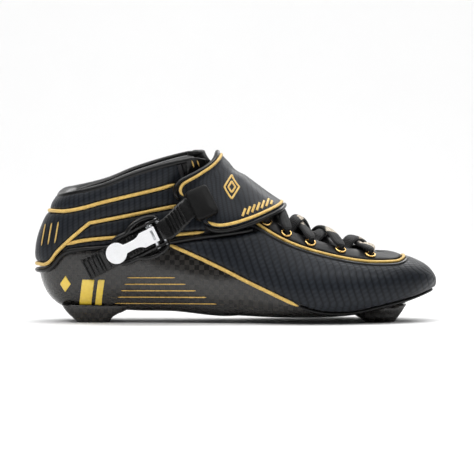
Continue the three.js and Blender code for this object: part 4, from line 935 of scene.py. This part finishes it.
lining = wall("lining", [under_roll, outside_tongue], LINER_IN, LINER_OUT, 2.0, 1.0)
finish_piece(lining, LINING, "boot", ["liner"])
bed = wall("insole", [lambda p, a: p[..., 2] - 20, lambda p, a: np.abs(a) - 1.05,
                      lambda p, a: -4 - p[..., 0]], LINER_IN - 3.9, LINER_IN - 0.9, 2.5, 1.0)
finish_piece(bed, LINING, "boot", ["footbed"])


def ankle_pad(name, cuts, node):
    above_shell = lambda p, a: 1 - shell_top(p, a)
    pad = wall(name, [under_roll, above_shell, *cuts], -SHELL_WALL, -0.7, 2.5, 1.4)
    finish_piece(pad, FOAM, "boot", [node])


ankle_pad("heel_cushion", [lambda p, a: np.abs(a) - 0.62], "achilles_pad")
for name, side in (("lateral", -1), ("medial", 1)):
    ankle_pad(f"ankle_cushion_{name}", [lambda p, a, side=side: 0.68 - side * a,
              lambda p, a: p[..., 0] - 88, outside_tongue], f"ankle_pad_{name}")


def tongue_top(s, a):
    p = last_point(s, a)
    rise = smooth((-3 - opening(p, a)) / 6)
    ridge = 0.5 * np.cos(np.clip(p[..., 1] / 7, -1, 1) * math.pi / 2)
    return -2 + 1.6 * rise + ridge


tongue_edge = [lambda p, a: opening(p, a) - overlap(p[..., 0])]
tongue = wall("tongue_pad", tongue_edge, LINER_IN, tongue_top, 1.6, 1.2)
finish_piece(tongue, TRIM_DULL, "boot", ["tongue"])



def tongue_roll():
    """The rounded top edge of the tongue."""
    a = math.pi + np.linspace(-0.62, 0.62, 61)
    s = np.full(a.shape, 0.012)
    points, normals = offset_point(s, a, -2.9), last_normal(s, a)
    grow = 0.45 + 0.55 * tips(61, 1, 6)
    roll = sweep("tongue_top_roll", points, normals, 5.6 * grow, 4.4 * grow, 20, 0.9)
    return finish_piece(roll, TRIM_DULL, "boot")


tongue_roll()

# ------------------------------------------------------------------ upper
cuff_edge = lambda p, a: 2.9 - cuff_low(p, a)
outside_throat = lambda p, a: SEAM - throat(p, a)


def panel(name, cuts, node, material, top=CUFF_OUT, step=1.4, puff=0.5):
    """An upper panel, a little fuller in the middle than at its seams."""
    field = lambda p, a: np.max([cut(p, a) for cut in cuts], axis=0)

    def outer(s, a):
        return top - 0.1 + puff * smooth(-field(last_point(s, a), a) / 5)

    piece = wall(name, cuts, -0.3, outer, step, 0.9)
    return finish_piece(piece, material, "boot", [node])


between = lambda above, below: [lambda p, a: SEAM - above(p, a), lambda p, a: below(p, a) + SEAM]
sides = {"lateral": -1, "medial": 1}
upper = [under_roll, cuff_edge, outside_throat]
panel("cuff_top", [*upper, inset(lambda p, a: -piping_top(p, a), SEAM)], "cuff_top_panel", CUFF)
panel("cuff_middle", [*upper, *between(piping_heel, piping_top)], "cuff_middle_panel", CUFF)
for name, side in sides.items():
    lower = [lambda p, a, side=side: -side * p[..., 1]]
    panel(f"cuff_lower_{name}", [*upper, *between(piping_branch, piping_heel), *lower],
          f"cuff_lower_panel_{name}", CUFF)
    edge_cuts = [lambda p, a, side=side: -20 * side * p[..., 1], lambda p, a: -19 - p[..., 0],
                 inset(piping_heel, SEAM), inset(piping_branch, SEAM)]
    panel(f"cuff_edge_{name}", [*upper, *edge_cuts], f"cuff_edge_panel_{name}", CUFF)
panel("vamp_panel", [lambda p, a: SEAM - vamp_edge(p, a), lambda p, a: 0.3 + cuff_low(p, a), outside_throat],
      "vamp", VAMP, VAMP_OUT, 1.2, 0.3)
panel("eyestay_panel", [under_roll, lambda p, a: throat(p, a) + SEAM, lambda p, a: 0.3 - opening(p, a)],
      "eyestay", TRIM_DULL, EYESTAY_OUT, 1.2, 0.2)


def gold(name, places, node, x_offset=1.25, width=2.5, height=2.4, ends=(1, 1)):
    piece = cord(name, places, x_offset, width, height, ends=ends)
    return finish_piece(piece, GOLD, "boot", [node] if node else [])


gold("gold_line_top", round_heel(PIPING_TOP, -28, 56), "piping_top")
GOLD_CORNER = [*PIPING_HEEL[:7], (-2.6, 66.6), (-1.2, 67.7), (0.8, 68.1), *PIPING_HEEL[10:]]
gold("gold_line_heel", round_heel(GOLD_CORNER, -36, 59), "piping_heel")
for name, side in sides.items():
    gold(f"gold_branch_{name}", side_places(PIPING_BRANCH, side, -17, 75.5), f"piping_branch_{name}")
    gold(f"gold_diagonal_{name}", side_places(VAMP_EDGE, side, 51, 139), f"piping_diagonal_{name}")
gold("gold_line_throat", round_toe(THROAT, 92), "piping_throat", 1.3, 2.2, 2.2)


def binding(name, places, node, offset, width, height, material=TRIM, ends=(1, 1)):
    piece = cord(name, places, offset, width, height, ends=ends, taper=3)
    return finish_piece(piece, material, "boot", [node] if node else [])


raised = lambda line, rise: [(x, z + rise) for x, z in line]
binding("cuff_edge_roll", round_heel(raised(CUFF_LOW, 1.5), -33, 109), "cuff_binding", 1.1, 3.4, 3.8)
binding("vamp_edge_roll", round_toe(VAMP_EDGE, 139), "vamp_binding", 1.0, 1.9, 2.0)
throat_line = curve_points(THROAT, 60)
outward = np.stack([-np.gradient(throat_line[:, 1]), np.gradient(throat_line[:, 0])], 1)
outward = -unit(outward)
outside_line = (throat_line + 2.3 * outward)
binding("throat_edge_roll", round_toe(outside_line[6:], 62), None, 1.9, 2.2, 1.7)

angles = np.linspace(-2.56, 2.56, 161)
roll = level_places(lambda p, a: collar(p, a) + COLLAR_ROLL[1] * 0.42, angles, 0.4)
roll_points = offset_point(*roll, (LINER_IN + CUFF_OUT) / 2)
roll_normals = last_normal(*roll)
ends = tips(161, 1.4, 5)
collar_roll = sweep("collar_roll", roll_points, roll_normals, 7.4 * (0.35 + 0.65 * ends),
                    4.6 * (0.35 + 0.65 * ends), 20, 0.85)
finish_piece(collar_roll, TRIM, "boot", ["collar_binding"])


# ------------------------------------------------------------------ eyelets and lace
def eyelet_place(row, side):
    s, a = on_side(row[0], row[1], side)
    return float(s), float(a)


EYELET_BASE = 1.5
EYELET_RING = [
    (2.5, -1.2), (2.95, -1.2), (2.95, EYELET_BASE), (3.75, EYELET_BASE), (3.95, EYELET_BASE + 0.25),
    (3.8, EYELET_BASE + 0.7), (3.4, EYELET_BASE + 1.0), (2.95, EYELET_BASE + 1.0), (2.6, EYELET_BASE + 0.75),
    (2.5, EYELET_BASE + 0.3),
]
for i, row in enumerate(EYELETS):
    for name, side in sides.items():
        place = frame_at(eyelet_place(row, side), 0.3)
        piece = turned(f"eyelet_ring_{name}_{i + 1}", EYELET_RING, place)
        finish_piece(piece, GOLD_METAL, "boot", [f"eyelet_{name}_{i + 1}"])


def lace_route():
    """(place, offset, width share) of one lace, from an end over every crossing to the other."""
    places = [[eyelet_place(row, side) for side in (-1, 1)] for row in EYELETS]
    high, under = 4.4, -0.85
    crossing = (2.2, 4.8)
    end = float(on_side(86, 98, -1)[0])

    def mix(p, q, t):
        b0, b1 = [a + 2 * math.pi if a < 0 else a for a in (p[1], q[1])]
        return p[0] + t * (q[0] - p[0]), b0 + t * (b1 - b0)

    def half(first, level):
        route = []
        for i in range(len(places) - 1):
            p, q = places[i][(first + i) % 2], places[i + 1][(first + i + 1) % 2]
            for t in (0, 0.12, 0.3, 0.5):
                up = high + (crossing[level] - high) * float(smooth((t - 0.08) / 0.27))
                route.append((mix(p, q, t), up, 0.3 if t == 0 else 1))
            for t in (0.66, 0.75, 0.82, 0.9):
                down = (crossing[level] - under) * float(smooth((t - 0.7) / 0.17))
                route.append((mix(p, q, t), crossing[level] - down, 1))
            route += [(q, under + 0.2, 0), (q, (high + under) / 2, 0)]
        last = len(places) - 1
        p = places[last][(first + last) % 2]
        rest = (end, math.pi + (0.3 if (first + last) % 2 else -0.3))
        return route + [(mix(p, rest, t), high, 1) for t in (0, 0.3, 0.6, 1)]

    one, two = half(0, 0), half(1, 1)
    bar = []
    for t in (0.08, 0.18, 0.3, 0.5, 0.7, 0.82, 0.92):
        up = (crossing[0] - under) * float(smooth((min(t, 1 - t) - 0.18) / 0.12))
        bar.append((mix(places[0][0], places[0][1], t), under + up, 1))
    start = lambda side: [(places[0][side], (high + under) / 2, 0), (places[0][side], under + 0.2, 0)]
    return [*one[::-1], *start(0), *bar, *start(1)[::-1], *two]


def lace():
    route = lace_route()
    s = np.array([r[0][0] for r in route])
    a = np.array([r[0][1] for r in route])
    raw = offset_point(s, a, np.array([r[1] for r in route]))
    normal = last_normal(s, a)
    data = np.hstack([raw, normal * 2, np.array([[r[2]] for r in route]) * 2])
    even = curve_points(data, 1400)
    points, normals, wide = even[:, :3], unit(even[:, 3:6]), smooth(even[:, 6] / 2)
    tangent = unit(np.gradient(points, axis=0))
    across = np.cross(tangent, normals)
    strength = np.linalg.norm(across, axis=1)
    side = np.zeros_like(across)
    previous = unit(across[0])
    for i in range(len(across)):
        ideal = across[i] if across[i].dot(previous) > 0 else -across[i]
        previous = unit(previous + ideal * min(1, strength[i] ** 2) * 0.35)
        side[i] = previous
    width = 2.6 + 5.4 * wide
    return sweep("lace_braid", points, side, width, 2.3 + 0.8 * wide, 16, 0.8)


def fleck(obj, spans, material):
    """Gives the top of a lace the fleck finish between pairs of x."""
    obj.data.materials.append(material)
    for face in obj.data.polygons:
        x, y, z = (v / MM for v in face.center)
        inside = any(x0 < x < x1 for x0, x1 in spans)
        if inside and face.normal.z > 0.25 and abs(y) < 12:
            face.material_index = 1


braid = finish_piece(lace(), LACE, "boot", ["lace"])
fleck(braid, [(139, 143), (158, 167), (181, 192)], LACE_FLECK)

# ------------------------------------------------------------------ strap
STRAP_FRONT = [(128, 80), (127.5, 75.5), (124.5, 71.2), (116, 67.2), (104.2, 63.3), (86.7, 60.4)]
STRAP_BACK = [(56.2, 95.8), (66.5, 102), (75.5, 108), (81, 116.5)]
front_edge, back_edge = curve_points(STRAP_FRONT, 48), curve_points(STRAP_BACK, 48)
LATERAL_CORNER = [(78, 62.5), (68, 71), (56, 84), (53.8, 90)]
MEDIAL_TAIL = [(70, 61.2), (56, 60), (42, 57.5), (33, 57), (27.5, 61), (26.5, 67), (30, 73), (44, 84.5)]
above = [(130, 150)]
strap_lateral = area_field([*front_edge, *LATERAL_CORNER, *back_edge, *above])
strap_medial = area_field([*front_edge, *MEDIAL_TAIL, *back_edge, *above])
UNDER_SIDE, UNDER_LACE, STRAP_THICK = 3.6, 5.6, 2.9


def strap_area(p, a):
    side = np.where(np.sin(a) < 0, strap_lateral(p), strap_medial(p))
    return np.where(np.cos(a) > 0.8, 20, side)


def strap_under(s, a):
    over = smooth((14 - opening(last_point(s, a), a)) / 6)
    return UNDER_SIDE + (UNDER_LACE - UNDER_SIDE) * over


def with_strap(obj):
    """Bakes the strap piece's placement into its mesh; the strap's medial end is sewn on the boot."""
    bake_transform(obj)
    return obj


def strap_piece(obj, material, nodes=()):
    obj.data.materials.clear()
    obj.data.materials.append(material)
    if nodes:
        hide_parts(*nodes)
    return with_strap(obj)


def strap_wall(name, inset_by, low, high, edge, puff=0.0):
    def outer(s, a):
        return strap_under(s, a) + high + puff * smooth(-strap_area(last_point(s, a), a) / 6)

    return wall(name, [lambda p, a: strap_area(p, a) + inset_by], lambda s, a: strap_under(s, a) + low,
                outer, 1.4, edge)


strap_body = strap_piece(strap_wall("strap_body", 0.8, 0.9, 2.8, 1.2, 0.5), STRAP_CLOTH,
                         ["instep_strap"])
strap_foam = strap_piece(strap_wall("strap_lining", 1.6, -0.2, 0.85, 0.6), LINING, ["strap_pad"])


def strap_places(line):
    s, a = side_places(line, -1)
    keep = a > -3.12
    s, a = np.r_[s[keep], s[keep][-1:]], np.r_[a[keep], -math.pi]
    return s, a


def shifted(line, by):
    """A side-view line moved sideways, to its left where by is above 0."""
    line = np.asarray(line, float)
    tangent = unit(np.gradient(line, axis=0))
    return line + by * np.stack([-tangent[:, 1], tangent[:, 0]], 1)


def strap_cord(name, lateral, medial, height, width, thick, material, nodes):
    """A cord along a strap edge: lateral side, over the instep, medial side."""
    lat = strap_places(lateral)
    med = strap_places(medial)
    places = join_places(lat, back((med[0], -med[1])))
    s, a = places
    raw = offset_point(s, a, strap_under(s, a) + height)
    keep = np.r_[True, np.linalg.norm(np.diff(raw, axis=0), axis=1) > 0.05]
    data = np.hstack([raw[keep], last_normal(s, a)[keep] * 4])
    even = curve_points(data, int(path_length(raw[keep]) / 0.9))
    points, normals = even[:, :3], unit(even[:, 3:])
    side = np.cross(np.gradient(points, axis=0), normals)
    size = tips(len(points), 0.9, 4)
    piece = sweep(name, points, side, width * size, thick * (0.4 + 0.6 * size))
    return strap_piece(piece, material, nodes)


FRONT_END = [(86.7, 60.4), (104.2, 63.3), (116, 67.2), (124.5, 71.2), (127.5, 75.5), (128, 80)]
FRONT_ROUTE = [(76, 63.5), (79.5, 61.6), *FRONT_END]
BACK_ROUTE = [(57, 82), (54, 86.5), (53.8, 91.5), *STRAP_BACK]
TAIL_ROUTE = [(27, 64), (30, 73), (44, 86), *STRAP_BACK]
MEDIAL_FRONT = [(33, 57.2), (42, 57.6), (56, 60), (70, 61), *FRONT_END]
front_route, back_route, tail_route, medial_front = (
    curve_points(line, 70) for line in (FRONT_ROUTE, BACK_ROUTE, TAIL_ROUTE, MEDIAL_FRONT)
)
strap_cord("strap_gold_front", shifted(front_route, 3.1), shifted(medial_front, 3.1), 3.2, 2.2, 1.6, GOLD,
           ["strap_piping_front"])
strap_cord("strap_gold_back", shifted(back_route, -3.1), shifted(tail_route, -3.1), 3.2, 2.2, 1.6, GOLD,
           ["strap_piping_back"])
strap_cord("strap_roll_front", front_route, medial_front, 1.7, 3.0, 3.6, TRIM, [])
strap_cord("strap_roll_back", back_route, tail_route, 1.7, 3.0, 3.6, TRIM, [])
patch = area_field([(29, 61), (46, 61), (50, 72), (44, 80), (31, 71.5)])
patch_edge = [lambda p, a: np.where(np.sin(a) < 0.3, 20, patch(p))]
stitched = wall("strap_end_patch", patch_edge, 2.0, 3.4, 1.4, 0.5)
finish_piece(stitched, TRIM_DULL, "boot", ["strap_anchor"])

# ------------------------------------------------------------------ hardware
def keep_node(name, material, bevel=0.25):
    """Gives a CAD node its finish, with its hard edges eased."""
    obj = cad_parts[name]
    obj.data.materials.clear()
    obj.data.materials.append(material)
    weld = obj.modifiers.new("weld", "WELD")
    weld.merge_threshold = 1e-6
    ease = obj.modifiers.new("ease", "BEVEL")
    ease.width, ease.segments, ease.limit_method = bevel * MM, 3, "ANGLE"
    ease.angle_limit = math.radians(32)
    ease.harden_normals = True
    obj.data.polygons.foreach_set("use_smooth", [True] * len(obj.data.polygons))


for name in ("heel_mount_plate", "toe_mount_plate"):
    keep_node(name, PLATE_METAL, 0.3)
keep_node("release_pawl", PLASTIC, 0.2)
for name in ("lever_pin", "pawl_pin", "anchor_nut", "buckle_rivet"):
    keep_node(name, STEEL, 0.15)
for name in ("lever_spring", "pawl_spring"):
    keep_node(name, STEEL, 0.03)


def hardware_place(u, v):
    """The last's place at u along and v across the buckle's axis."""
    s, a = on_side(u * AXIS[0] - v * AXIS[2], u * AXIS[2] + v * AXIS[0], -1)
    return float(s), float(a)


BUCKLE_U, BUCKLE_V = 52, 34.4
buckle = frame_at(hardware_place(BUCKLE_U, BUCKLE_V), 5.6, AXIS)
keeper_place = hardware_place(99.2, 36.5)
under_keeper = float(strap_under(np.array([keeper_place[0]]), np.array([keeper_place[1]]))[0])
keeper_frame = frame_at(keeper_place, under_keeper + STRAP_THICK + 1.0, AXIS)


def put(obj, place):
    """Moves a mesh made at the origin into a frame (origin, x, y, z)."""
    origin, x, y, z = place
    matrix = Matrix([[*row, o * MM] for row, o in zip(np.stack([x, y, z], 1), origin)])
    obj.data.transform(matrix.to_4x4() if len(matrix) == 4 else Matrix([*matrix, (0, 0, 0, 1)]))
    return obj


def plate(name, outline, low, high, edge, place, upright=False):
    """An outline drawn out from low to high with rounded edges, in a frame."""
    outline = np.asarray(outline, float)
    n = len(outline)
    level = lambda h: np.c_[outline, np.full(n, float(h))]
    points = np.vstack([level(low), level(high)])
    if upright:
        points = points[:, [0, 2, 1]]
    faces = [list(range(n))[::-1], list(range(n, 2 * n))]
    faces += [[i, (i + 1) % n, n + (i + 1) % n, n + i] for i in range(n)]
    obj = mesh_object(name, points, faces)
    clean(obj)
    apply_modifier(obj, "BEVEL", width=edge * MM, segments=3, limit_method="ANGLE",
                   angle_limit=math.radians(40), harden_normals=True)
    obj.data.polygons.foreach_set("use_smooth", [True] * len(obj.data.polygons))
    return put(obj, place)


def both_sides(half):
    half = np.asarray(half, float)
    return np.vstack([half, (half * [1, -1])[::-1]])


def lever_outline():
    """A round paddle, a narrow neck and a square head."""
    centre, paddle, neck, head = -15.9, 7.0, 3.1, 5.2
    join = math.asin(neck / paddle)
    turn = np.linspace(math.pi, join, 22)
    round_end = np.c_[centre + paddle * np.cos(turn), paddle * np.sin(turn)]
    waist = curve_points([(-9.2, neck), (-5, 2.9), (-1, 3.1), (1.5, 4.0), (3.2, head)], 14)
    return both_sides([*round_end, *waist, (13.9, head)])


def buckle_parts():
    """The base with its ears and cheeks, and the lever over it."""
    half = curve_points([(-19, 5.5), (-15, 9.4), (-10, 10.8), (-4, 10.9), (0, 13.2), (6, 14.5), (12.5, 14),
                         (17, 12), (20, 8.2)], 44)
    base = plate("buckle_plate", both_sides(half), 0, 1.9, 0.5, buckle)
    finish_piece(base, PLASTIC, "boot", ["buckle_base"])
    for name, side in sides.items():
        ear = half[4:-2] * [1, side] - [0, side * 1.7]
        spine = np.c_[ear, np.full(len(ear), 2.3)]
        spine[:, 2] += 1.5 * np.sin(np.linspace(0, math.pi, len(ear))) ** 0.7
        ridge = sweep(f"buckle_ear_{name}", spine, np.tile([0, 1.0, 0], (len(ear), 1)),
                      3.6 * tips(len(ear), 1, 3), 4.2, 14, 0.8)
        finish_piece(put(ridge, buckle), PLASTIC, "boot")
        cheek = curve_points([(-7, 1.4), (-4, 4.6), (3, 6.8), (8, 9.3), (12, 10.3), (16, 9.6), (19, 7.4),
                              (19.6, 1.4)], 30)
        y0, y1 = sorted((side * 7.8, side * 9.3))
        wall_piece = plate(f"buckle_cheek_{name}", cheek, y0, y1, 0.45, buckle, upright=True)
        finish_piece(wall_piece, PLASTIC, "boot")
        for i, (x, y) in enumerate([(-4.5, 9.2), (4.5, 11.8), (14.5, 11.2)]):
            stud = [(0.01, 1.6), (1.35, 1.6), (1.35, 3.0), (1.1, 3.4), (0.5, 3.6), (0.01, 3.6)]
            origin, ex, ey, ez = buckle
            spot = (origin + x * ex + side * y * ey, ex, ey, ez)
            finish_piece(turned(f"buckle_stud_{name}_{i + 1}", stud, spot, 20), STEEL, "boot")
    arm = plate("lever_arm", lever_outline(), 8.2, 10.2, 0.5, buckle)
    origin, ex, ey, ez = buckle
    slot = box("slot_cutter", (1.7, 7, 2), (0, 0, 0))
    put(slot, (origin + 11.2 * ex + 10.2 * ez, ex, ey, ez))
    cut(arm, slot)
    finish_piece(arm, SILVER, "lever", ["buckle_lever"])
    hub = [(1.7, -4.9), (2.0, -4.9), (2.3, -4.6), (2.3, 4.6), (2.0, 4.9), (1.7, 4.9)]
    barrel = turned("lever_hub", hub, (origin + 11.4 * ex + 7.4 * ez, ez, ex, ey), 32)
    finish_piece(barrel, STEEL, "lever")


def strip(name, points, normals_side, width, thickness, ribs, rib_size):
    """A flat moulded strap with rounded ribs across it. normals_side is the direction across."""
    base = sweep(name, points, normals_side, width, thickness, 20, 0.35)
    pieces = [base]
    tangent = unit(np.gradient(points, axis=0))
    up = unit(np.cross(tangent, normals_side))
    for i in ribs:
        span = np.linspace(-0.5, 0.5, 9)[:, None]
        height = np.broadcast_to(thickness, (len(points),))[i] / 2
        centre = points[i] + up[i] * (height + rib_size[1] * 0.25)
        line = centre + span * normals_side[i] * (np.broadcast_to(width, (len(points),))[i] - 0.9)
        across = np.tile(tangent[i], (9, 1))
        size = np.array([0.55, 0.9, 1, 1, 1, 1, 1, 0.9, 0.55])
        pieces.append(sweep(f"{name}_rib", line, across, rib_size[0] * size, rib_size[1] * size, 12, 0.8))
    return join(pieces)


def join(pieces):
    bm = bmesh.new()
    for piece in pieces:
        bm.from_mesh(piece.data)
    bm.to_mesh(pieces[0].data)
    bm.free()
    for piece in pieces[1:]:
        bpy.data.objects.remove(piece)
    pieces[0].data.polygons.foreach_set("use_smooth", [True] * len(pieces[0].data.polygons))
    return pieces[0]


def ladder_strip():
    local = lambda place, x, z: place[0] + x * place[1] + z * place[3]
    raw = [local(buckle, x, 2.9) for x in (-9, 0, 8, 16, 23)]
    raw += [local(keeper_frame, x, 2.3) for x in (-10, -5, 0, 3.6)]
    even = curve_points(raw, 96)
    share = smooth((np.linspace(0, 1, 97) - 0.5) / 0.3)[:, None]
    across = unit(buckle[2] * (1 - share) + keeper_frame[2] * share)
    step = path_length(even) / 96
    ribs = [int(round(d / step)) for d in np.arange(3, path_length(even) - 17, 2.6)]
    piece = strip("ladder_strap", even, across, 14.5, 2.0, ribs, (1.3, 1.5))
    return finish_piece(piece, PLASTIC, "strap", ["ladder"])


def anchor_ribbed():
    u = np.linspace(13.4, 40.5, 64)
    rise = smooth((u - 24) / 5)
    base = np.array([frame_at(hardware_place(v, BUCKLE_V), 0, AXIS) for v in u])
    thick = 4.3 - 2.5 * rise
    points = base[:, 0] + base[:, 3] * (0.3 + 3.2 * rise + thick / 2)[:, None]
    ribs = [int(np.argmin(np.abs(u - v))) for v in (14.4, 17.4, 20.4, 23.4, 26.4, 29.4)]
    piece = strip("anchor_ribbed_strap", points, base[:, 2], 15.0, thick, ribs, (1.7, 1.9))
    return finish_piece(piece, PLASTIC, "boot", ["anchor_strap", "anchor_screw"])


def keeper_box():
    """A rounded box with a low crest across its middle."""
    levels = [(0, 7.9, 10.6, 2.6), (0.4, 8.25, 11, 2.8), (3, 8.25, 11, 2.8), (4.9, 8.1, 10.9, 2.8),
              (5.6, 7.8, 10.6, 2.6), (6.0, 7.3, 10.1, 2.3), (6.15, 6.5, 9.3, 1.9)]
    rings = loft_rings([(z, -x, x, y, r) for z, x, y, r in levels], 0, 6)
    rings[3:, :, 2] += 1.7 * np.clip(1 - np.abs(rings[3:, :, 0] - 0.8) / 7.4, 0, 1) - 0.9
    top = rings[-1]
    inner = [np.c_[top[:, :2] * k, top[:, 2]] for k in (0.75, 0.5, 0.25)]
    for ring in inner:
        ring[:, 2] = 5.25 + 1.7 * np.clip(1 - np.abs(ring[:, 0] - 0.8) / 7.4, 0, 1)
    piece = solid_from_grid("keeper_loop", [*rings, *inner])
    clean(piece)
    return finish_piece(put(piece, keeper_frame), PLASTIC_SATIN, "strap", ["keeper"])


buckle_parts()
ladder_strip()
anchor_ribbed()
keeper_box()


# ------------------------------------------------------------------ generic marks
def mark(name, outline, side=-1, low=-0.1, high=0.22, material=GOLD_PRINT, step=0.7):
    """A thin printed shape on one side of the boot, from its side-view outline."""
    area = area_field(outline)
    piece = wall(name, [lambda p, a: np.where(side * np.sin(a) < 0.05, 20, area(p))], low, high, step, 0.12)
    return finish_piece(piece, material, "boot")


def bar(x, z, length, height, lean=0.25):
    shift = lean * height
    return [(x, z), (x + length, z), (x + length + shift, z + height), (x + shift, z + height)]


mark("yellow_bar_wide", bar(-9.5, 10.6, 8.2, 19, 0.16), material=YELLOW_PRINT, low=-0.3)
mark("yellow_bar_narrow", bar(1.2, 10.6, 4.4, 19, 0.16), material=YELLOW_PRINT, low=-0.3)
mark("yellow_diamond", [(-18.5, 21), (-14.5, 26.5), (-18, 32), (-22, 26.5)], material=YELLOW_PRINT, low=-0.3)


def drawn_line(name, line, width, side=-1, height=0.3, material=GOLD_PRINT, thick=0.5):
    """A thin raised line along side-view points."""
    line = curve_points(line, max(24, int(path_length(np.asarray(line, float)) * 1.6)))
    places = on_side(line[:, 0], line[:, 1], side)
    piece = cord(name, places, height, width, thick, 0.6, 2.0)
    return finish_piece(piece, material, "boot")


def shell_stripes():
    """Plain level stripes along the shell, each one shorter than the one below it."""
    for i in range(5):
        start, end, level = 15 + 2.2 * i, 84 - 7 * i, 13.5 + 4.4 * i
        drawn_line(f"shell_stripe_{i + 1}", [(start, level), ((start + end) / 2, level), (end, level)], 0.8)


def heel_bars():
    """Three plain slanted bars on each side of the heel."""
    for i in range(3):
        x, z = -33 + 4.5 * i, 52 + i
        for side_name, side in sides.items():
            line = [(x, z), (x + 1.3, z + 7), (x + 2.6, z + 14)]
            drawn_line(f"heel_bar_{i + 1}_{side_name}", line, 1.15, side, 2.35, GOLD, 0.9)


def on_strap(line, height):
    """Places whose points on the strap's outer face lie under a side-view line, up to the instep."""
    want, aim = line, line.copy()
    for _ in range(16):
        s, a = on_side(aim[:, 0], aim[:, 1], -1)
        aim = aim + 0.5 * (want - offset_point(s, a, strap_under(s, a) + height)[:, [0, 2]])
    seen = a > -3.05
    return s[seen], a[seen]


def strap_drawn(name, line, width, thick=0.8):
    height = 3.4
    places = np.stack(on_strap(np.asarray(line, float), height), 1)
    s, a = curve_points(places, 40).T
    raw = offset_point(s, a, strap_under(s, a) + height)
    even = curve_points(np.hstack([raw, last_normal(s, a) * 4]), int(path_length(raw) / 0.6))
    across = np.cross(np.gradient(even[:, :3], axis=0), even[:, 3:])
    piece = sweep(name, even[:, :3], across, width, thick)
    return strap_piece(piece, GOLD)


def strap_marks():
    """Two nested lozenges, and a row of slanted bars along the front edge."""
    x, z = 94, 92
    for name, half_width, half_height in (("outer", 5, 8), ("inner", 2.4, 3.8)):
        corners = [(x, z + half_height), (x + half_width, z), (x, z - half_height), (x - half_width, z)]
        for i, corner in enumerate(corners):
            strap_drawn(f"strap_lozenge_{name}_{i + 1}", [corner, corners[(i + 1) % 4]], 1.4)
    for i in range(7):
        x, z = 101.2 + 3.2 * i, 72.4 + 1.3 * i
        strap_drawn(f"strap_dash_{i + 1}", [(x, z), (x + 0.9, z + 2.4), (x + 1.9, z + 5)], 1.7)


def tongue_label():
    """A small sewn label beside the ankle opening, with two plain bars on it."""
    area = area_field([(63.5, 99), (76, 106.5), (74.5, 110.5), (70, 112), (62.5, 110.5)])
    edge = [lambda p, a: np.where(np.sin(a) > -0.05, 20, area(p))]
    label = wall("tongue_label", edge, -1.6, 1.9, 1.0, 0.4)
    finish_piece(label, TRIM, "boot")
    for i in range(2):
        x, z = 65.6 + 3.4 * i, 110.2
        bar_line = [(x, z), (x + 0.8, z - 2.4), (x + 1.6, z - 4.8)]
        drawn_line(f"label_bar_{i + 1}", bar_line, 1.1, -1, 2.1, GOLD, 0.7)


tongue_label()
shell_stripes()
heel_bars()
strap_marks()

# ------------------------------------------------------------------ floor, light and camera
def area_light(name, place, target, size, power, colour=(1, 1, 1)):
    light = bpy.data.lights.new(name, "AREA")
    light.shape, light.size, light.size_y = "RECTANGLE", size[0], size[1]
    light.energy, light.color = power, colour
    obj = bpy.data.objects.new(name, light)
    obj.location = place
    obj.rotation_euler = (Vector(target) - Vector(place)).to_track_quat("-Z", "Y").to_euler()
    bpy.context.scene.collection.objects.link(obj)


def stage():
    """A pale floor that curves up behind, and soft lights."""
    near, curve_start, curve, top = -2.6, 1.4, 0.8, 4.4
    turn = np.linspace(0, math.pi / 2, 14)
    depth = np.r_[near, curve_start + curve * np.sin(turn), curve_start + curve]
    rise = np.r_[0, curve - curve * np.cos(turn), top]
    points = [(x, y, z - 0.00002) for y, z in zip(depth, rise) for x in (-4.5, 4.7)]
    mesh = bpy.data.meshes.new("floor")
    rows = len(depth)
    faces = [(2 * i, 2 * i + 1, 2 * i + 3, 2 * i + 2) for i in range(rows - 1)]
    mesh.from_pydata(points, [], faces)
    mesh.polygons.foreach_set("use_smooth", [True] * len(mesh.polygons))
    floor = bpy.data.objects.new("floor", mesh)
    bpy.context.scene.collection.objects.link(floor)
    f = Finish("pale_paper")
    colour = f.mix(f.noise(3), (0.86, 0.86, 0.86), (0.9, 0.9, 0.9))
    mesh.materials.append(f.set(base_color=colour, roughness=0.9))
    world = bpy.data.worlds.new("studio")
    world.use_nodes = True
    world.node_tree.nodes["Background"].inputs["Color"].default_value = (1, 1, 1, 1)
    world.node_tree.nodes["Background"].inputs["Strength"].default_value = 0.1
    bpy.context.scene.world = world
    middle = (0.1, 0, 0.06)  # a point inside the boot that the lights face
    area_light("key", (-0.25, -0.75, 0.75), middle, (0.35, 0.2), 1.5)
    area_light("rim", (0.45, 0.55, 0.6), (0.15, 0, 0.06), (0.5, 0.25), 2.0)
    area_light("top", (0.1, -0.02, 1.0), middle, (1.3, 0.5), 4.4)
    area_light("floor_wash", (0.1, -0.3, 0.55), (0.1, -0.75, 0), (1.6, 0.15), 7)
    area_light("backdrop_wash", (0.1, 0.5, 2.6), (0.1, 2.2, 0.6), (4.8, 0.6), 88)


def camera():
    data = bpy.data.cameras.new("camera")
    obj = bpy.data.objects.new("camera", data)
    width, distance, lift = 0.3187, 1.6, math.radians(1.5)
    target = Vector((0.0975, 0, 0.0575))
    obj.location = target + distance * Vector((0, -math.cos(lift), math.sin(lift)))
    obj.rotation_euler = (target - obj.location).to_track_quat("-Z", "Y").to_euler()
    data.sensor_width = 36
    data.lens = 36 * (distance - 0.03) / width
    bpy.context.scene.collection.objects.link(obj)
    bpy.context.scene.camera = obj


stage()
camera()
bpy.context.scene.view_settings.view_transform = "Standard"
